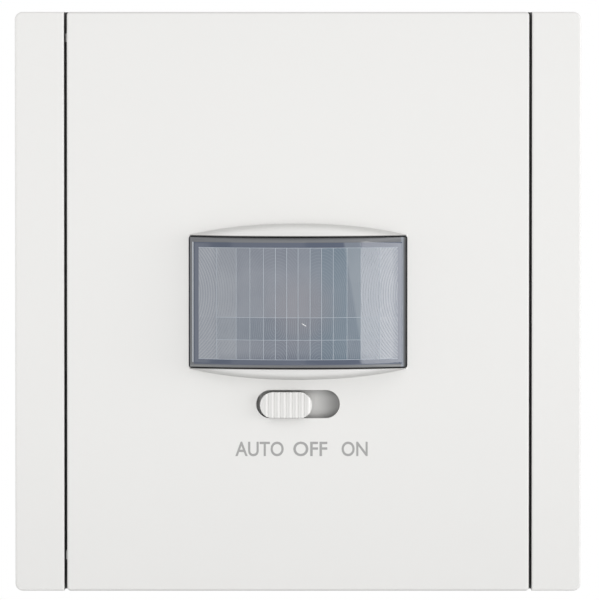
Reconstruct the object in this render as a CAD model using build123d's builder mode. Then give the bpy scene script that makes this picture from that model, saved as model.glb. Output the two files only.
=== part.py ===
from build123d import *
from math import atan, cos, degrees, radians, sin, sqrt, tan
import os

# Motion sensor light switch for a round wall box with the usual 60 mm fixing.
# An insert is screwed or clawed into the box, a cover frame lies over it, and
# a sensor head with the front panel plugs into the insert and holds the frame.
# X runs to the right as seen from the room, Y into the wall and Z up.
# The origin is the middle of the fixing pattern, on the face of the wall.

# The cover, as seen from the room
PANEL_W = 65.8  # front panel, between the two grooves
GROOVE_W = 0.4  # dark line beside the panel
STRIP_W = 7.0  # raised side strip of the frame
COVER_H = 82.5
COVER_DEPTH = 9.5  # face of the cover before the wall
COVER_CORNER_R = 1.1
STRIP_EDGE_R = 0.3

# Walls of the cover frame
FRAME_WALL = 1.6
GROOVE_WALL = 1.4
STRIP_FACE_T = 1.6
SHELF_T = 1.1  # shelf that the panel lies on
SCREW_HEAD_ROOM = 2.3  # free height over the plate for the heads of the box screws
FRAME_OPENING_GAP = 1.5  # beside the flange of the sensor head
FRAME_OPENING_R = 3.0
FRAME_RIB_T = 1.0
FRAME_RIB_PITCH = 20.0
FRAME_RIB_COUNT = 4
FRAME_PAD_W = 3.0  # pads that stand on the corners of the support plate

# Front panel
PANEL_T = 1.8
PANEL_CORNER_R = 0.5
PANEL_EDGE_R = 0.3
SKIRT_T = 1.4
REST_GAP = 0.3  # between pieces that only lie on each other
PANEL_RIB_T = 1.0
PANEL_RIB_H = 2.0
NUB_L = 1.2  # locating nubs on the panel's left side
NUB_REACH = 0.2
NUB_H = 3.2
NUB_TOP_INSET = 3.65  # from the panel's upper end
NUB_BOTTOM_INSET = 5.05

# Window, hood and lens
WINDOW_W = 31.15
WINDOW_CORNER_R = 0.4
HOOD_REACH = 6.5  # how far the hood and the lens stand out of the panel
HOOD_RISE = 1.725  # from the window's edge to the crease on the panel
HOOD_LAND = 0.12  # flat lip around the window
HOOD_BULGE = 0.14  # roundness of the slope between lip and crease
SLOT_TO_HOOD = 3.44  # from the lower crease to the middle of the slider's slot
LENS_GAP = 0.2
LENS_T = 0.8
LENS_BEVEL = 0.45
LENS_FLANGE = 1.2
LENS_FLANGE_T = 0.8
LENS_FIELD_ANGLE = 40.8  # from the middle to the last column, in degrees
LENS_COLUMN_SHARES = (0.0, 0.110, 0.216, 0.325, 0.456, 0.593, 0.792, 1.0)
LENS_ROW_SHARES = (0.850, -0.238, -0.575, -0.888)
LENS_ROW_STEP = 0.12  # each row of segments is a little thicker than the one above

# Black clamp and funnel behind the lens
BEZEL_W = 38.8
BEZEL_T = 1.0
BEZEL_R = 1.5
BEZEL_FIELD_INSET_X = 1.375  # inside the window's edge
BEZEL_FIELD_INSET_Z = 1.125
FUNNEL_TAPER_X = 4.2
FUNNEL_TAPER_Z = 2.0
FUNNEL_WALL = 0.9
FUNNEL_ROOM = 8.4  # between the funnel and the sensor board
BEZEL_PIN_R = 0.7
BEZEL_PIN_INSET = 1.1
STAKE_H = 0.4  # what a melted pin stands over the plate that it holds

# Mode slider: AUTO at the left, OFF in the middle, ON at the right
SLOT_L = 11.92
SLOT_H = 4.03
SLOT_INSET = 2.91  # its middle, above the bottom of the sensor head
KNOB_L = 7.42
KNOB_H = 3.7
KNOB_SAG = 0.13
KNOB_PROUD = 1.0
KNOB_RIB_PITCH = 0.854
KNOB_RIB_COUNT = 8
KNOB_RIB_RISE = 0.3
MODE_STEP = 1.7
MODE_COUNT = 3
CARRIER_L = 19.0
CARRIER_H = 6.6
CARRIER_T = 1.2
CARRIER_R = 0.8
SLIDE_GAP = 0.2
LEG_W = 4.4
LEG_H = 2.4
LEG_LIFT = 1.5  # the leg stands above the middle of the carrier
LEG_GAP = 0.3
RETAINER_L = 32.0
RETAINER_H = 7.2
RETAINER_T = 1.0
RETAINER_POST_R = 1.2
RETAINER_COLLAR_R = 2.0
RETAINER_POST_X = 13.8

# Sensor housing
HEAD_WALL = 1.4
HEAD_CORNER_R = 3.0
HEAD_EDGE_R = 0.8
FLANGE_REACH = 8.5
FLANGE_T = 1.6
FLANGE_CORNER_R = 4.0
FLANGE_FACE = 4.0  # face of the flange before the wall
FLANGE_PAD_W = 3.0
FLANGE_PAD_INSET_X = 2.5
FLANGE_PAD_INSET_Z = 11.0
CLAW_NOTCH_GAP = 0.6

# Screws: head radius, head height and thread radius of each size
HEAD_SCREW_HEAD_R = 2.2
HEAD_SCREW_HEAD_H = 0.9
HEAD_SCREW_R = 1.1
HEAD_SCREW_L = 5.2
HEAD_SCREW_INSET = 4.0
HEAD_SCREW_BOSS_R = 2.6
SMALL_SCREW_HEAD_R = 1.6
SMALL_SCREW_HEAD_H = 1.2
SMALL_SCREW_R = 0.8
SMALL_SCREW_L = 3.0
DRIVER_SLOT_W = 0.6
DRIVER_SLOT_DEPTH = 0.5
SCREW_FIT = 0.05
SCREW_PASS = 0.2

# Sensor board and what it carries
BOARD_SETBACK = 4.5  # from the board's face to the back of the housing
BOARD_T = 1.2
BOARD_GAP = 0.3
BOARD_CORNER_R = 1.8
BOARD_SCREW_INSET = 2.6
BOARD_POST_R = 1.9
PIR_CAN_R = 4.1
PIR_RIM_R = 4.6
PIR_RIM_T = 0.4
PIR_H = 4.2
PIR_EDGE_R = 0.5
PIR_LIFT = 0.2
PIR_VIEW_W = 4.0
PIR_VIEW_H = 3.0
PIR_VIEW_T = 0.4
PIR_LEAD_R = 0.25
PIR_LEAD_CIRCLE_R = 2.54
PIR_LEAD_L = 2.0
LEAD_PASS = 0.2
EYE_R = 1.5  # photo diode and lamp behind the lens
EYE_RIM_R = 1.8
EYE_RIM_T = 0.6
EYE_H = 3.8
EYE_X = 7.6
SWITCH_L = 11.0
SWITCH_H = 3.6
SWITCH_T = 3.5
SWITCH_WELL = 1.4
STEM_W = 1.5
STEM_REACH = 2.0
STEM_FIT = 0.05
STEM_RUN = 0.3
CHIP_W = 6.0
CHIP_T = 1.4
CHIP_X = 8.4
CHIP_INSET = 6.0  # below the board's upper edge
BOARD_CAP_R = 2.5
BOARD_CAP_H = 5.4
BOARD_CAP_X = 9.8
BOARD_CAP_INSET = 6.2
CAP_EDGE_R = 0.5
TRIMMER_W = 9.0
TRIMMER_T = 1.6
TRIMMER_X = 8.5
TRIMMER_DROP = 3.0
DIAL_R = 3.2
DIAL_T = 1.45
DIAL_GAP = 0.15
DIAL_PIN_R = 1.5
DIAL_PIN_L = 1.1
DIAL_FIT = 0.05
DIAL_HOLE_GAP = 0.3
DIAL_SLOT_L = 4.6
DIAL_SLOT_W = 0.9
DIAL_SLOT_DEPTH = 0.7
DIAL_EDGE_R = 0.2
PLUG_W = 14.0
PLUG_H = 4.4
PLUG_INSET = 7.0  # below the top of the housing
PLUG_REACH = 1.0  # past the back of the housing
PLUG_GAP = 0.3
PIN_COUNT = 5
PIN_PITCH = 2.54
PIN_W = 0.64
PIN_TAIL = 0.5
PIN_L = 9.2
PIN_HOLE_W = 1.0
PIN_HOLE_R = 0.55

# Support plate
PLATE_W = 71.0
PLATE_MARGIN = 5.75  # from its upper and lower edges to the cover's
PLATE_T = 1.2
PLATE_CORNER_R = 6.0
PLATE_HEAD_GAP = 0.45
BOX_SPACING = 60.0
BOX_SLOT_W = 4.2
BOX_SLOT_L = 6.4
PLATE_NOTCH_W = 5.0
PLATE_NOTCH_DEPTH = 1.6
PLATE_NOTCH_PITCH = 38.0
PLATE_HOLE_R = 1.5
PLATE_HOLE_INSET = 8.0
RIVET_X = 13.0
RIVET_INSET = 2.0  # inside the housing's upper and lower walls
RIVET_R = 0.9
RIVET_HEAD_R = 1.8
RIVET_HEAD_H = 0.7
RIVET_L = 4.0
RIVET_BOSS_R = 1.8
RIVET_BOSS_L = 6.0

# Spreading claws with their screws
CLAW_X = 23.2
CLAW_SCREW_R = 1.5
CLAW_SCREW_TAIL = 2.1  # past the foot
CLAW_BALL_R = 2.8  # round underside of the head, which rocks in the plate
CLAW_BALL_FACE = 0.6
CLAW_BALL_GAP = 0.05
CLAW_HOLE_W = 3.8
CLAW_SWING = 15.0  # degrees
CLAW_W = 8.0
CLAW_T = 1.2
CLAW_FOOT_SETBACK = 13.0  # from the foot's face to the back of the insert
CLAW_FOOT_T = 2.4  # thick enough for the thread
CLAW_FOOT_RIM = 0.7  # metal between the thread and the housing
CLAW_LEG_GAP = 0.6
CLAW_LEG_L = 12.0
CLAW_FIT = 0.05
CLAW_TOOTH_REACH = 1.3
CLAW_TOOTH_PITCH = 2.4
CLAW_TOOTH_COUNT = 3
CLAW_SIDE_GAP = 1.0
CLAW_POCKET_GAP = 0.3  # between the claw and the floor of its pocket

# Insert housing
HOUSING_W = 50.0
HOUSING_H = 46.0
HOUSING_CORNER_R = 4.0
HOUSING_ROUND = 4.5  # round corners stand out of the mean half width by this
HOUSING_DEPTH = 32.0
HOUSING_WALL = 1.5
HOUSING_EDGE_R = 1.0
POWER_SECTION = 18.0  # depth behind the sensor head

# Tub for the sensor head, inside the insert housing
TUB_GAP = 0.4
TUB_SIDE_ROOM = 2.4  # above and below the tub, for rivets and springs
TUB_WALL = 1.2
TUB_FLOOR_GAP = 0.6
TUB_FLOOR_T = 1.4
TUB_FLANGE_T = 1.2
FIT_GAP = 0.1
TUB_POST_R = 1.6
TUB_POST_INSET = 1.9
TUB_POST_SHARE = 0.602  # of the tub's half height
TUB_POST_BORE = 2.2
SPRING_W = 8.0
SPRING_T = 0.4
SPRING_FACE = 1.3
SPRING_ROOM = 5.0
SPRING_END_SHARE = 0.1667
SPRING_TOUCH = 0.1
SPRING_WINDOW_GAP = 0.6

# Power board and what it carries
POWER_BOARD_T = 1.6
POWER_BOARD_GAP = 0.4
SOCKET_GAP = 0.3
SOCKET_WINDOW_GAP = 0.6
RELAY_W = 15.0
RELAY_GAP = 0.6  # to the screws above and below it
RELAY_T = 9.9
RELAY_X = -11.3
RELAY_Z = 0.0
RELAY_EDGE_R = 0.6
LINE_CAP_W = 6.0
LINE_CAP_SHORT = 0.6  # shorter than the relay
LINE_CAP_T = 10.0
LINE_CAP_X = 0.2
LINE_CAP_Z = 0.2
SNUBBER_W = 10.4
SNUBBER_H = 5.4
SNUBBER_T = 8.6
SNUBBER_X = 9.8
SNUBBER_INSET = 5.5  # below the board's upper edge
FILM_EDGE_R = 0.8
BULK_CAP_R = 4.0
BULK_CAP_H = 10.0
BULK_CAP_X = 8.0
BULK_CAP_DROP = 4.9  # below the upper posts
BULK_CAP_GROOVE = 0.3
BULK_CAP_GROOVE_Y = 1.6
VARISTOR_R = 4.4
VARISTOR_T = 3.6
VARISTOR_X = -10.0
VARISTOR_INSET = 6.3
VARISTOR_LIFT = 0.8
VARISTOR_LEAD_R = 0.4
VARISTOR_LEAD_SPACING = 5.0
FUSE_R = 3.1
FUSE_H = 7.4
FUSE_X = 15.4
FUSE_DROP = 4.5
CHOKE_R = 4.2
CHOKE_H = 9.0
CHOKE_X = 13.6
CHOKE_RISE = 0.4  # over the terminal block
CHOKE_FLANGE_T = 1.3
CHOKE_WINDING_R = 3.6
TERMINAL_COUNT = 4
TERMINAL_PITCH = 7.2
TERMINAL_W = 30.0
TERMINAL_H = 10.0
TERMINAL_T = 10.2
TERMINAL_GAP = 0.3
CAGE_W = 5.4
CAGE_H = 6.4
CAGE_T = 5.8
CAGE_GAP = 0.1
CAGE_FLOOR = 2.0
WIRE_R = 1.6
WIRE_FUNNEL = 0.4
TERMINAL_SCREW_R = 1.2
TERMINAL_SCREW_HEAD_R = 1.9
TERMINAL_SCREW_HEAD_H = 1.6
TERMINAL_SCREW_L = 3.4
TERMINAL_ACCESS_R = 2.3

# How far a cutting shape runs past what it cuts
OVERRUN = 1.0

# Sizes worked out from the ones above
SIDES = (-1, 1)
CLAW_POCKET_X = CLAW_X - CLAW_SCREW_R - CLAW_FOOT_RIM - CLAW_POCKET_GAP
TUB_OUTER_W = 2 * (CLAW_POCKET_X - HOUSING_WALL - FIT_GAP)
TUB_OUTER_H = HOUSING_H - 2 * (HOUSING_WALL + TUB_SIDE_ROOM)
TUB_W = TUB_OUTER_W - 2 * TUB_WALL
TUB_H = TUB_OUTER_H - 2 * TUB_WALL
HEAD_W = TUB_W - 2 * TUB_GAP
HEAD_H = TUB_H - 2 * TUB_GAP
HEAD_DEPTH = HOUSING_DEPTH - POWER_SECTION
HOUSING_R = (HOUSING_W + HOUSING_H) / 4 + HOUSING_ROUND
FLANGE_W = HEAD_W + 2 * FLANGE_REACH
FLANGE_H = HEAD_H + 2 * FLANGE_REACH
HEAD_SCREW_X = FLANGE_W / 2 - HEAD_SCREW_INSET
HEAD_SCREW_Z = FLANGE_H / 2 - HEAD_SCREW_INSET
SLOT_DROP = HEAD_H / 2 - SLOT_INSET
WINDOW_H = 2 * (SLOT_DROP - SLOT_TO_HOOD - HOOD_RISE)
BOARD_FACE = HEAD_DEPTH - BOARD_SETBACK
PLUG_Z = HEAD_H / 2 - PLUG_INSET
PLATE_H = COVER_H - 2 * PLATE_MARGIN
BED_W = PANEL_W + 2 * GROOVE_W
COVER_W = BED_W + 2 * STRIP_W
WALL_Y = 0
PANEL_FACE_Y = -COVER_DEPTH
PANEL_BACK_Y = PANEL_FACE_Y + PANEL_T
SHELF_BACK_Y = -(PLATE_T + SCREW_HEAD_ROOM)
SHELF_FACE_Y = SHELF_BACK_Y - SHELF_T
SKIRT_BACK_Y = SHELF_FACE_Y - REST_GAP
HOOD_R = ((WINDOW_W / 2) ** 2 + HOOD_REACH**2) / (2 * HOOD_REACH)
HOOD_TIP_Y = PANEL_FACE_Y - HOOD_REACH
HOOD_AXIS_Y = HOOD_TIP_Y + HOOD_R
LENS_W = WINDOW_W - 2 * LENS_GAP
LENS_H = WINDOW_H - 2 * LENS_GAP
LENS_R = HOOD_R - LENS_GAP
LENS_BACK_Y = PANEL_BACK_Y + LENS_FLANGE_T
LENS_FLANGE_W = WINDOW_W + 2 * LENS_FLANGE
LENS_FLANGE_H = WINDOW_H + 2 * LENS_FLANGE
BEZEL_BACK_Y = LENS_BACK_Y + BEZEL_T
FUNNEL_BACK_Y = BOARD_FACE - FUNNEL_ROOM
BEZEL_FIELD_W = WINDOW_W - 2 * BEZEL_FIELD_INSET_X
BEZEL_FIELD_H = WINDOW_H - 2 * BEZEL_FIELD_INSET_Z
FUNNEL_W = BEZEL_FIELD_W - 2 * FUNNEL_TAPER_X
FUNNEL_H = BEZEL_FIELD_H - 2 * FUNNEL_TAPER_Z
BEZEL_PIN_X = BEZEL_W / 2 - BEZEL_PIN_INSET
BEZEL_PIN_Z = LENS_FLANGE_H / 2 - 2 * BEZEL_PIN_INSET
SLIDER_X = -MODE_STEP * (MODE_COUNT - 1) / 2
SLIDER_Z = -(SLOT_DROP + KNOB_SAG)
CARRIER_FACE_Y = PANEL_BACK_Y + SLIDE_GAP
CARRIER_BACK_Y = CARRIER_FACE_Y + CARRIER_T
LEG_Z = SLIDER_Z + LEG_LIFT
MODE_TRAVEL = MODE_STEP * (MODE_COUNT - 1)
RETAINER_FACE_Y = CARRIER_BACK_Y + SLIDE_GAP
RETAINER_BACK_Y = RETAINER_FACE_Y + RETAINER_T
FLANGE_FACE_Y = -FLANGE_FACE
FLANGE_BACK_Y = FLANGE_FACE_Y + FLANGE_T
HEAD_INNER_W = HEAD_W - 2 * HEAD_WALL
HEAD_INNER_H = HEAD_H - 2 * HEAD_WALL
HEAD_FLOOR_Y = HEAD_DEPTH - HEAD_WALL
BOARD_BACK_Y = BOARD_FACE + BOARD_T
BOARD_W = HEAD_INNER_W - 2 * BOARD_GAP
BOARD_H = HEAD_INNER_H - 2 * BOARD_GAP
BOARD_SCREW_X = BOARD_W / 2 - BOARD_SCREW_INSET
BOARD_SCREW_Z = BOARD_H / 2 - BOARD_SCREW_INSET
CHIP_Z = BOARD_H / 2 - CHIP_INSET
BOARD_CAP_Z = BOARD_H / 2 - BOARD_CAP_INSET
SWITCH_FACE_Y = BOARD_FACE - SWITCH_T
STEM_FACE_Y = SWITCH_FACE_Y - STEM_REACH
LEG_END_Y = SWITCH_FACE_Y - LEG_GAP
TRIMMER_BACK_Y = BOARD_BACK_Y + TRIMMER_T
DIAL_FACE_Y = TRIMMER_BACK_Y + DIAL_GAP
DIAL_BACK_Y = DIAL_FACE_Y + DIAL_T
PLUG_BACK_Y = HEAD_DEPTH + PLUG_REACH
PIN_START_Y = BOARD_FACE - PIN_TAIL
TUB_FLOOR = HEAD_DEPTH + TUB_FLOOR_GAP
TUB_POST_X = TUB_OUTER_W / 2 - TUB_POST_INSET
TUB_POST_Z = TUB_OUTER_H / 2 * TUB_POST_SHARE
SPRING_L = TUB_FLOOR - SPRING_ROOM
SPRING_END = SPRING_L * SPRING_END_SHARE
RIVET_Z = HOUSING_H / 2 - RIVET_INSET
TUB_BACK_Y = TUB_FLOOR + TUB_FLOOR_T
SOCKET_FACE_Y = PLUG_BACK_Y + SOCKET_GAP
POWER_BOARD_FACE_Y = PIN_START_Y + PIN_L + PLUG_GAP
POWER_BOARD_BACK_Y = POWER_BOARD_FACE_Y + POWER_BOARD_T
HOUSING_FLOOR_Y = HOUSING_DEPTH - HOUSING_WALL
CLAW_SEAT = sqrt(CLAW_BALL_R**2 - (CLAW_HOLE_W / 2) ** 2) + CLAW_BALL_GAP
CLAW_BALL_Y = -PLATE_T - CLAW_SEAT
CLAW_HOLE_L = CLAW_HOLE_W + 2 * -CLAW_BALL_Y * tan(radians(CLAW_SWING))
CLAW_LEG_X = CLAW_X + CLAW_SCREW_R + CLAW_LEG_GAP
CLAW_FOOT_Y = HOUSING_DEPTH - CLAW_FOOT_SETBACK
CLAW_FOOT_BACK_Y = CLAW_FOOT_Y + CLAW_FOOT_T
CLAW_SCREW_L = CLAW_FOOT_BACK_Y - CLAW_BALL_Y + CLAW_SCREW_TAIL
POWER_BOARD_TOP_Z = HOUSING_H / 2 - HOUSING_WALL - POWER_BOARD_GAP
RELAY_H = 2 * (TUB_POST_Z - SMALL_SCREW_HEAD_R - RELAY_GAP)
LINE_CAP_H = RELAY_H - LINE_CAP_SHORT
SNUBBER_Z = POWER_BOARD_TOP_Z - SNUBBER_INSET
VARISTOR_Z = POWER_BOARD_TOP_Z - VARISTOR_INSET
BULK_CAP_Z = TUB_POST_Z - BULK_CAP_DROP
FUSE_Z = TUB_POST_Z - FUSE_DROP
TERMINAL_BACK_Y = POWER_BOARD_BACK_Y + TERMINAL_T
TERMINAL_BOTTOM_Z = -(HOUSING_H / 2 - HOUSING_WALL - TERMINAL_GAP)
TERMINAL_Z = TERMINAL_BOTTOM_Z + TERMINAL_H / 2
CHOKE_Z = TERMINAL_BOTTOM_Z + TERMINAL_H + CHOKE_RISE + CHOKE_R
CAGE_FACE_Y = POWER_BOARD_BACK_Y + CAGE_FLOOR
CAGE_BACK_Y = CAGE_FACE_Y + CAGE_T
WIRE_Y = CAGE_FACE_Y + CAGE_T / 2


def at_depth(y):
    """The plane parallel to the wall at this depth, facing the room."""
    return Plane.XZ.offset(-y)


def corners(spacing_x, spacing_z):
    """The four corners of a rectangle about the origin."""
    return [(i * spacing_x / 2, k * spacing_z / 2) for i in SIDES for k in SIDES]


def housing_outline(inset):
    """Outline of the insert housing, drawn this far inside its outer wall."""
    RectangleRounded(HOUSING_W - 2 * inset, HOUSING_H - 2 * inset, HOUSING_CORNER_R)
    Circle(HOUSING_R - inset, mode=Mode.INTERSECT)
    pocket_w = HOUSING_W / 2 - CLAW_POCKET_X + inset
    pocket_h = CLAW_W + 2 * (CLAW_SIDE_GAP + inset)
    for side in SIDES:
        with Locations((side * (CLAW_POCKET_X - inset + pocket_w / 2), 0)):
            Rectangle(pocket_w, pocket_h, mode=Mode.SUBTRACT)


def lens_chords(radius):
    """Plan of the hollow behind the lens: one flat for each column of segments."""
    angles = [LENS_FIELD_ANGLE * share for share in LENS_COLUMN_SHARES]
    half = [(radius * sin(radians(a)), HOOD_AXIS_Y - radius * cos(radians(a))) for a in angles]
    end_x = half[-1][0]
    back = (end_x, LENS_BACK_Y + OVERRUN)
    right = half + [back]
    left = [(-x, y) for x, y in reversed(right[1:])]
    return left + right


def screw_profile(head_r, head_h, shaft_r, length):
    """Half section of a flat-headed screw, head at the top, turned about Y later."""
    Polyline(
        (0, head_h),
        (head_r, head_h),
        (head_r, 0),
        (shaft_r, 0),
        (shaft_r, -length + shaft_r / 2),
        (shaft_r / 2, -length),
        (0, -length),
        close=True,
    )


def screw(head_r, head_h, shaft_r, length):
    """One screw with a driver slot, standing on the XY plane, its head up."""
    with BuildPart() as body:
        with BuildSketch(Plane.XZ):
            with BuildLine():
                screw_profile(head_r, head_h, shaft_r, length)
            make_face()
        revolve(axis=Axis.Z)
        with Locations((0, 0, head_h - DRIVER_SLOT_DEPTH / 2)):
            Box(2 * head_r, DRIVER_SLOT_W, DRIVER_SLOT_DEPTH, mode=Mode.SUBTRACT)
    return body.part


# Cover frame
with BuildPart() as cover_frame:
    with BuildSketch(at_depth(WALL_Y)):
        RectangleRounded(COVER_W, COVER_H, COVER_CORNER_R)
    extrude(amount=COVER_DEPTH)
    # Bed of the front panel, open at the top and at the bottom
    with BuildSketch(at_depth(SHELF_FACE_Y)):
        Rectangle(BED_W, COVER_H + OVERRUN)
    extrude(amount=COVER_DEPTH, mode=Mode.SUBTRACT)
    strip_faces = cover_frame.faces().filter_by(Axis.Y).group_by(Axis.Y)[0]
    fillet(strip_faces.edges(), STRIP_EDGE_R)
    # Hollow behind the shelf and inside each strip
    hollow_h = COVER_H - 2 * FRAME_WALL
    with BuildSketch(at_depth(WALL_Y)):
        Rectangle(COVER_W - 2 * FRAME_WALL, hollow_h)
    extrude(amount=-SHELF_BACK_Y, mode=Mode.SUBTRACT)
    strip_hollow_w = STRIP_W - GROOVE_WALL - FRAME_WALL
    with BuildSketch(at_depth(WALL_Y)):
        for side in SIDES:
            with Locations((side * (BED_W / 2 + GROOVE_WALL + strip_hollow_w / 2), 0)):
                Rectangle(strip_hollow_w, hollow_h)
    extrude(amount=COVER_DEPTH - STRIP_FACE_T, mode=Mode.SUBTRACT)
    opening_w = FLANGE_W + 2 * FRAME_OPENING_GAP
    opening_h = FLANGE_H + 2 * FRAME_OPENING_GAP
    with BuildSketch(at_depth(WALL_Y)):
        RectangleRounded(opening_w, opening_h, FRAME_OPENING_R)
    extrude(amount=COVER_DEPTH, mode=Mode.SUBTRACT)
    # Ribs between the strips' outer walls and the shelf, beside the support plate
    rib_l = COVER_W / 2 - FRAME_WALL / 2 - PLATE_W / 2 - REST_GAP
    rib_x = PLATE_W / 2 + REST_GAP + rib_l / 2
    with BuildSketch(at_depth(WALL_Y)):
        for side in SIDES:
            with Locations((side * rib_x, 0)):
                with GridLocations(0, FRAME_RIB_PITCH, 1, FRAME_RIB_COUNT):
                    Rectangle(rib_l, FRAME_RIB_T)
    extrude(amount=COVER_DEPTH - STRIP_FACE_T / 2)
    # Pads that stand on the corners of the support plate
    pad_spacing_x = PLATE_W - PLATE_CORNER_R
    pad_spacing_z = PLATE_H - PLATE_CORNER_R
    with BuildSketch(at_depth(-PLATE_T)):
        with GridLocations(pad_spacing_x, pad_spacing_z, 2, 2):
            Rectangle(FRAME_PAD_W, FRAME_PAD_W)
    extrude(amount=-PLATE_T - SHELF_BACK_Y)

# Hood over and under the lens: a section turned about the lens's upright axis
with BuildPart() as lens_hood:
    crease = (PANEL_FACE_Y, WINDOW_H / 2 + HOOD_RISE)
    lip = (HOOD_TIP_Y, WINDOW_H / 2 + HOOD_LAND)
    root_y = PANEL_FACE_Y + PANEL_T / 2
    with BuildSketch(Plane.YZ):
        with BuildLine():
            SagittaArc(lip, crease, HOOD_BULGE)
            Polyline(
                crease,
                (root_y, crease[1]),
                (root_y, WINDOW_H / 2),
                (HOOD_TIP_Y, WINDOW_H / 2),
                lip,
            )
        make_face()
    revolve(axis=Axis((0, HOOD_AXIS_Y, 0), (0, 0, 1)))
    split(bisect_by=at_depth(root_y), keep=Keep.TOP)
    mirror(about=Plane.XY)

# Front panel with its hood, ribs, screw bosses and stake pins
with BuildPart() as front_panel:
    with BuildSketch(at_depth(SKIRT_BACK_Y)):
        RectangleRounded(PANEL_W, COVER_H, PANEL_CORNER_R)
    extrude(amount=SKIRT_BACK_Y - PANEL_FACE_Y)
    fillet(front_panel.faces().sort_by(Axis.Y)[0].edges(), PANEL_EDGE_R)
    with BuildSketch(at_depth(SKIRT_BACK_Y)):
        Rectangle(PANEL_W - 2 * SKIRT_T, COVER_H - 2 * SKIRT_T)
    extrude(amount=SKIRT_BACK_Y - PANEL_BACK_Y, mode=Mode.SUBTRACT)
    add(lens_hood.part)
    # Ribs run through the screw bosses across the panel, and from them to its ends
    rib_end_z = COVER_H / 2 - SKIRT_T / 2
    with BuildSketch(at_depth(PANEL_BACK_Y + PANEL_RIB_H)):
        with GridLocations(2 * HEAD_SCREW_X, HEAD_SCREW_Z + rib_end_z, 2, 2):
            Rectangle(PANEL_RIB_T, rib_end_z - HEAD_SCREW_Z)
        with GridLocations(0, 2 * HEAD_SCREW_Z, 1, 2):
            Rectangle(PANEL_W - SKIRT_T, PANEL_RIB_T)
    extrude(amount=PANEL_RIB_H)
    with BuildSketch(at_depth(FLANGE_FACE_Y)):
        with GridLocations(2 * HEAD_SCREW_X, 2 * HEAD_SCREW_Z, 2, 2):
            Circle(HEAD_SCREW_BOSS_R)
    extrude(amount=FLANGE_FACE_Y - PANEL_BACK_Y)
    with BuildSketch(at_depth(BEZEL_BACK_Y + STAKE_H)):
        with GridLocations(2 * BEZEL_PIN_X, 2 * BEZEL_PIN_Z, 2, 2):
            Circle(BEZEL_PIN_R)
    extrude(amount=BEZEL_BACK_Y + STAKE_H - PANEL_BACK_Y)
    # Collars and pins of the slider's keeper plate
    with BuildSketch(at_depth(RETAINER_FACE_Y)):
        with Locations((-RETAINER_POST_X, SLIDER_Z), (RETAINER_POST_X, SLIDER_Z)):
            Circle(RETAINER_COLLAR_R)
    extrude(amount=RETAINER_FACE_Y - PANEL_BACK_Y)
    with BuildSketch(at_depth(RETAINER_BACK_Y + STAKE_H)):
        with Locations((-RETAINER_POST_X, SLIDER_Z), (RETAINER_POST_X, SLIDER_Z)):
            Circle(RETAINER_POST_R)
    extrude(amount=RETAINER_BACK_Y + STAKE_H - PANEL_BACK_Y)
    # Locating nubs in the left groove
    nub_back_y = PANEL_FACE_Y + NUB_L + NUB_H
    with BuildSketch(at_depth(nub_back_y)):
        with Locations((-PANEL_W / 2, COVER_H / 2 - NUB_TOP_INSET)):
            Rectangle(2 * NUB_REACH, NUB_L)
        with Locations((-PANEL_W / 2, -COVER_H / 2 + NUB_BOTTOM_INSET)):
            Rectangle(2 * NUB_REACH, NUB_L)
    extrude(amount=NUB_H)
    # Window, slot and pilot holes
    with BuildSketch(at_depth(SKIRT_BACK_Y)):
        RectangleRounded(WINDOW_W, WINDOW_H, WINDOW_CORNER_R)
        with Locations((0, -SLOT_DROP)):
            SlotOverall(SLOT_L, SLOT_H)
    extrude(amount=SKIRT_BACK_Y - HOOD_TIP_Y + OVERRUN, mode=Mode.SUBTRACT)
    with BuildSketch(at_depth(FLANGE_FACE_Y)):
        with GridLocations(2 * HEAD_SCREW_X, 2 * HEAD_SCREW_Z, 2, 2):
            Circle(HEAD_SCREW_R + SCREW_FIT)
    extrude(amount=HEAD_SCREW_L - FLANGE_T + REST_GAP, mode=Mode.SUBTRACT)

# Bowed lens, faceted inside: 14 columns in 3 rows
with BuildPart() as fresnel_lens:
    with BuildSketch(Plane.XY.offset(-LENS_H / 2)):
        with Locations((0, HOOD_AXIS_Y)):
            Circle(LENS_R)
        with Locations((0, LENS_BACK_Y)):
            Rectangle(LENS_W, LENS_R, align=(Align.CENTER, Align.MAX), mode=Mode.INTERSECT)
    extrude(amount=LENS_H)
    bowed_face = fresnel_lens.faces().filter_by(GeomType.CYLINDER)
    chamfer(bowed_face.edges(), LENS_BEVEL)
    with BuildSketch(at_depth(LENS_BACK_Y)):
        Rectangle(LENS_FLANGE_W, LENS_FLANGE_H)
    extrude(amount=LENS_FLANGE_T)
    for row in range(len(LENS_ROW_SHARES) - 1):
        row_top = LENS_ROW_SHARES[row] * LENS_H / 2
        row_bottom = LENS_ROW_SHARES[row + 1] * LENS_H / 2
        with BuildSketch(Plane.XY.offset(row_bottom)):
            Polygon(*lens_chords(LENS_R - LENS_T - row * LENS_ROW_STEP), align=None)
        extrude(amount=row_top - row_bottom, mode=Mode.SUBTRACT)

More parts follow.
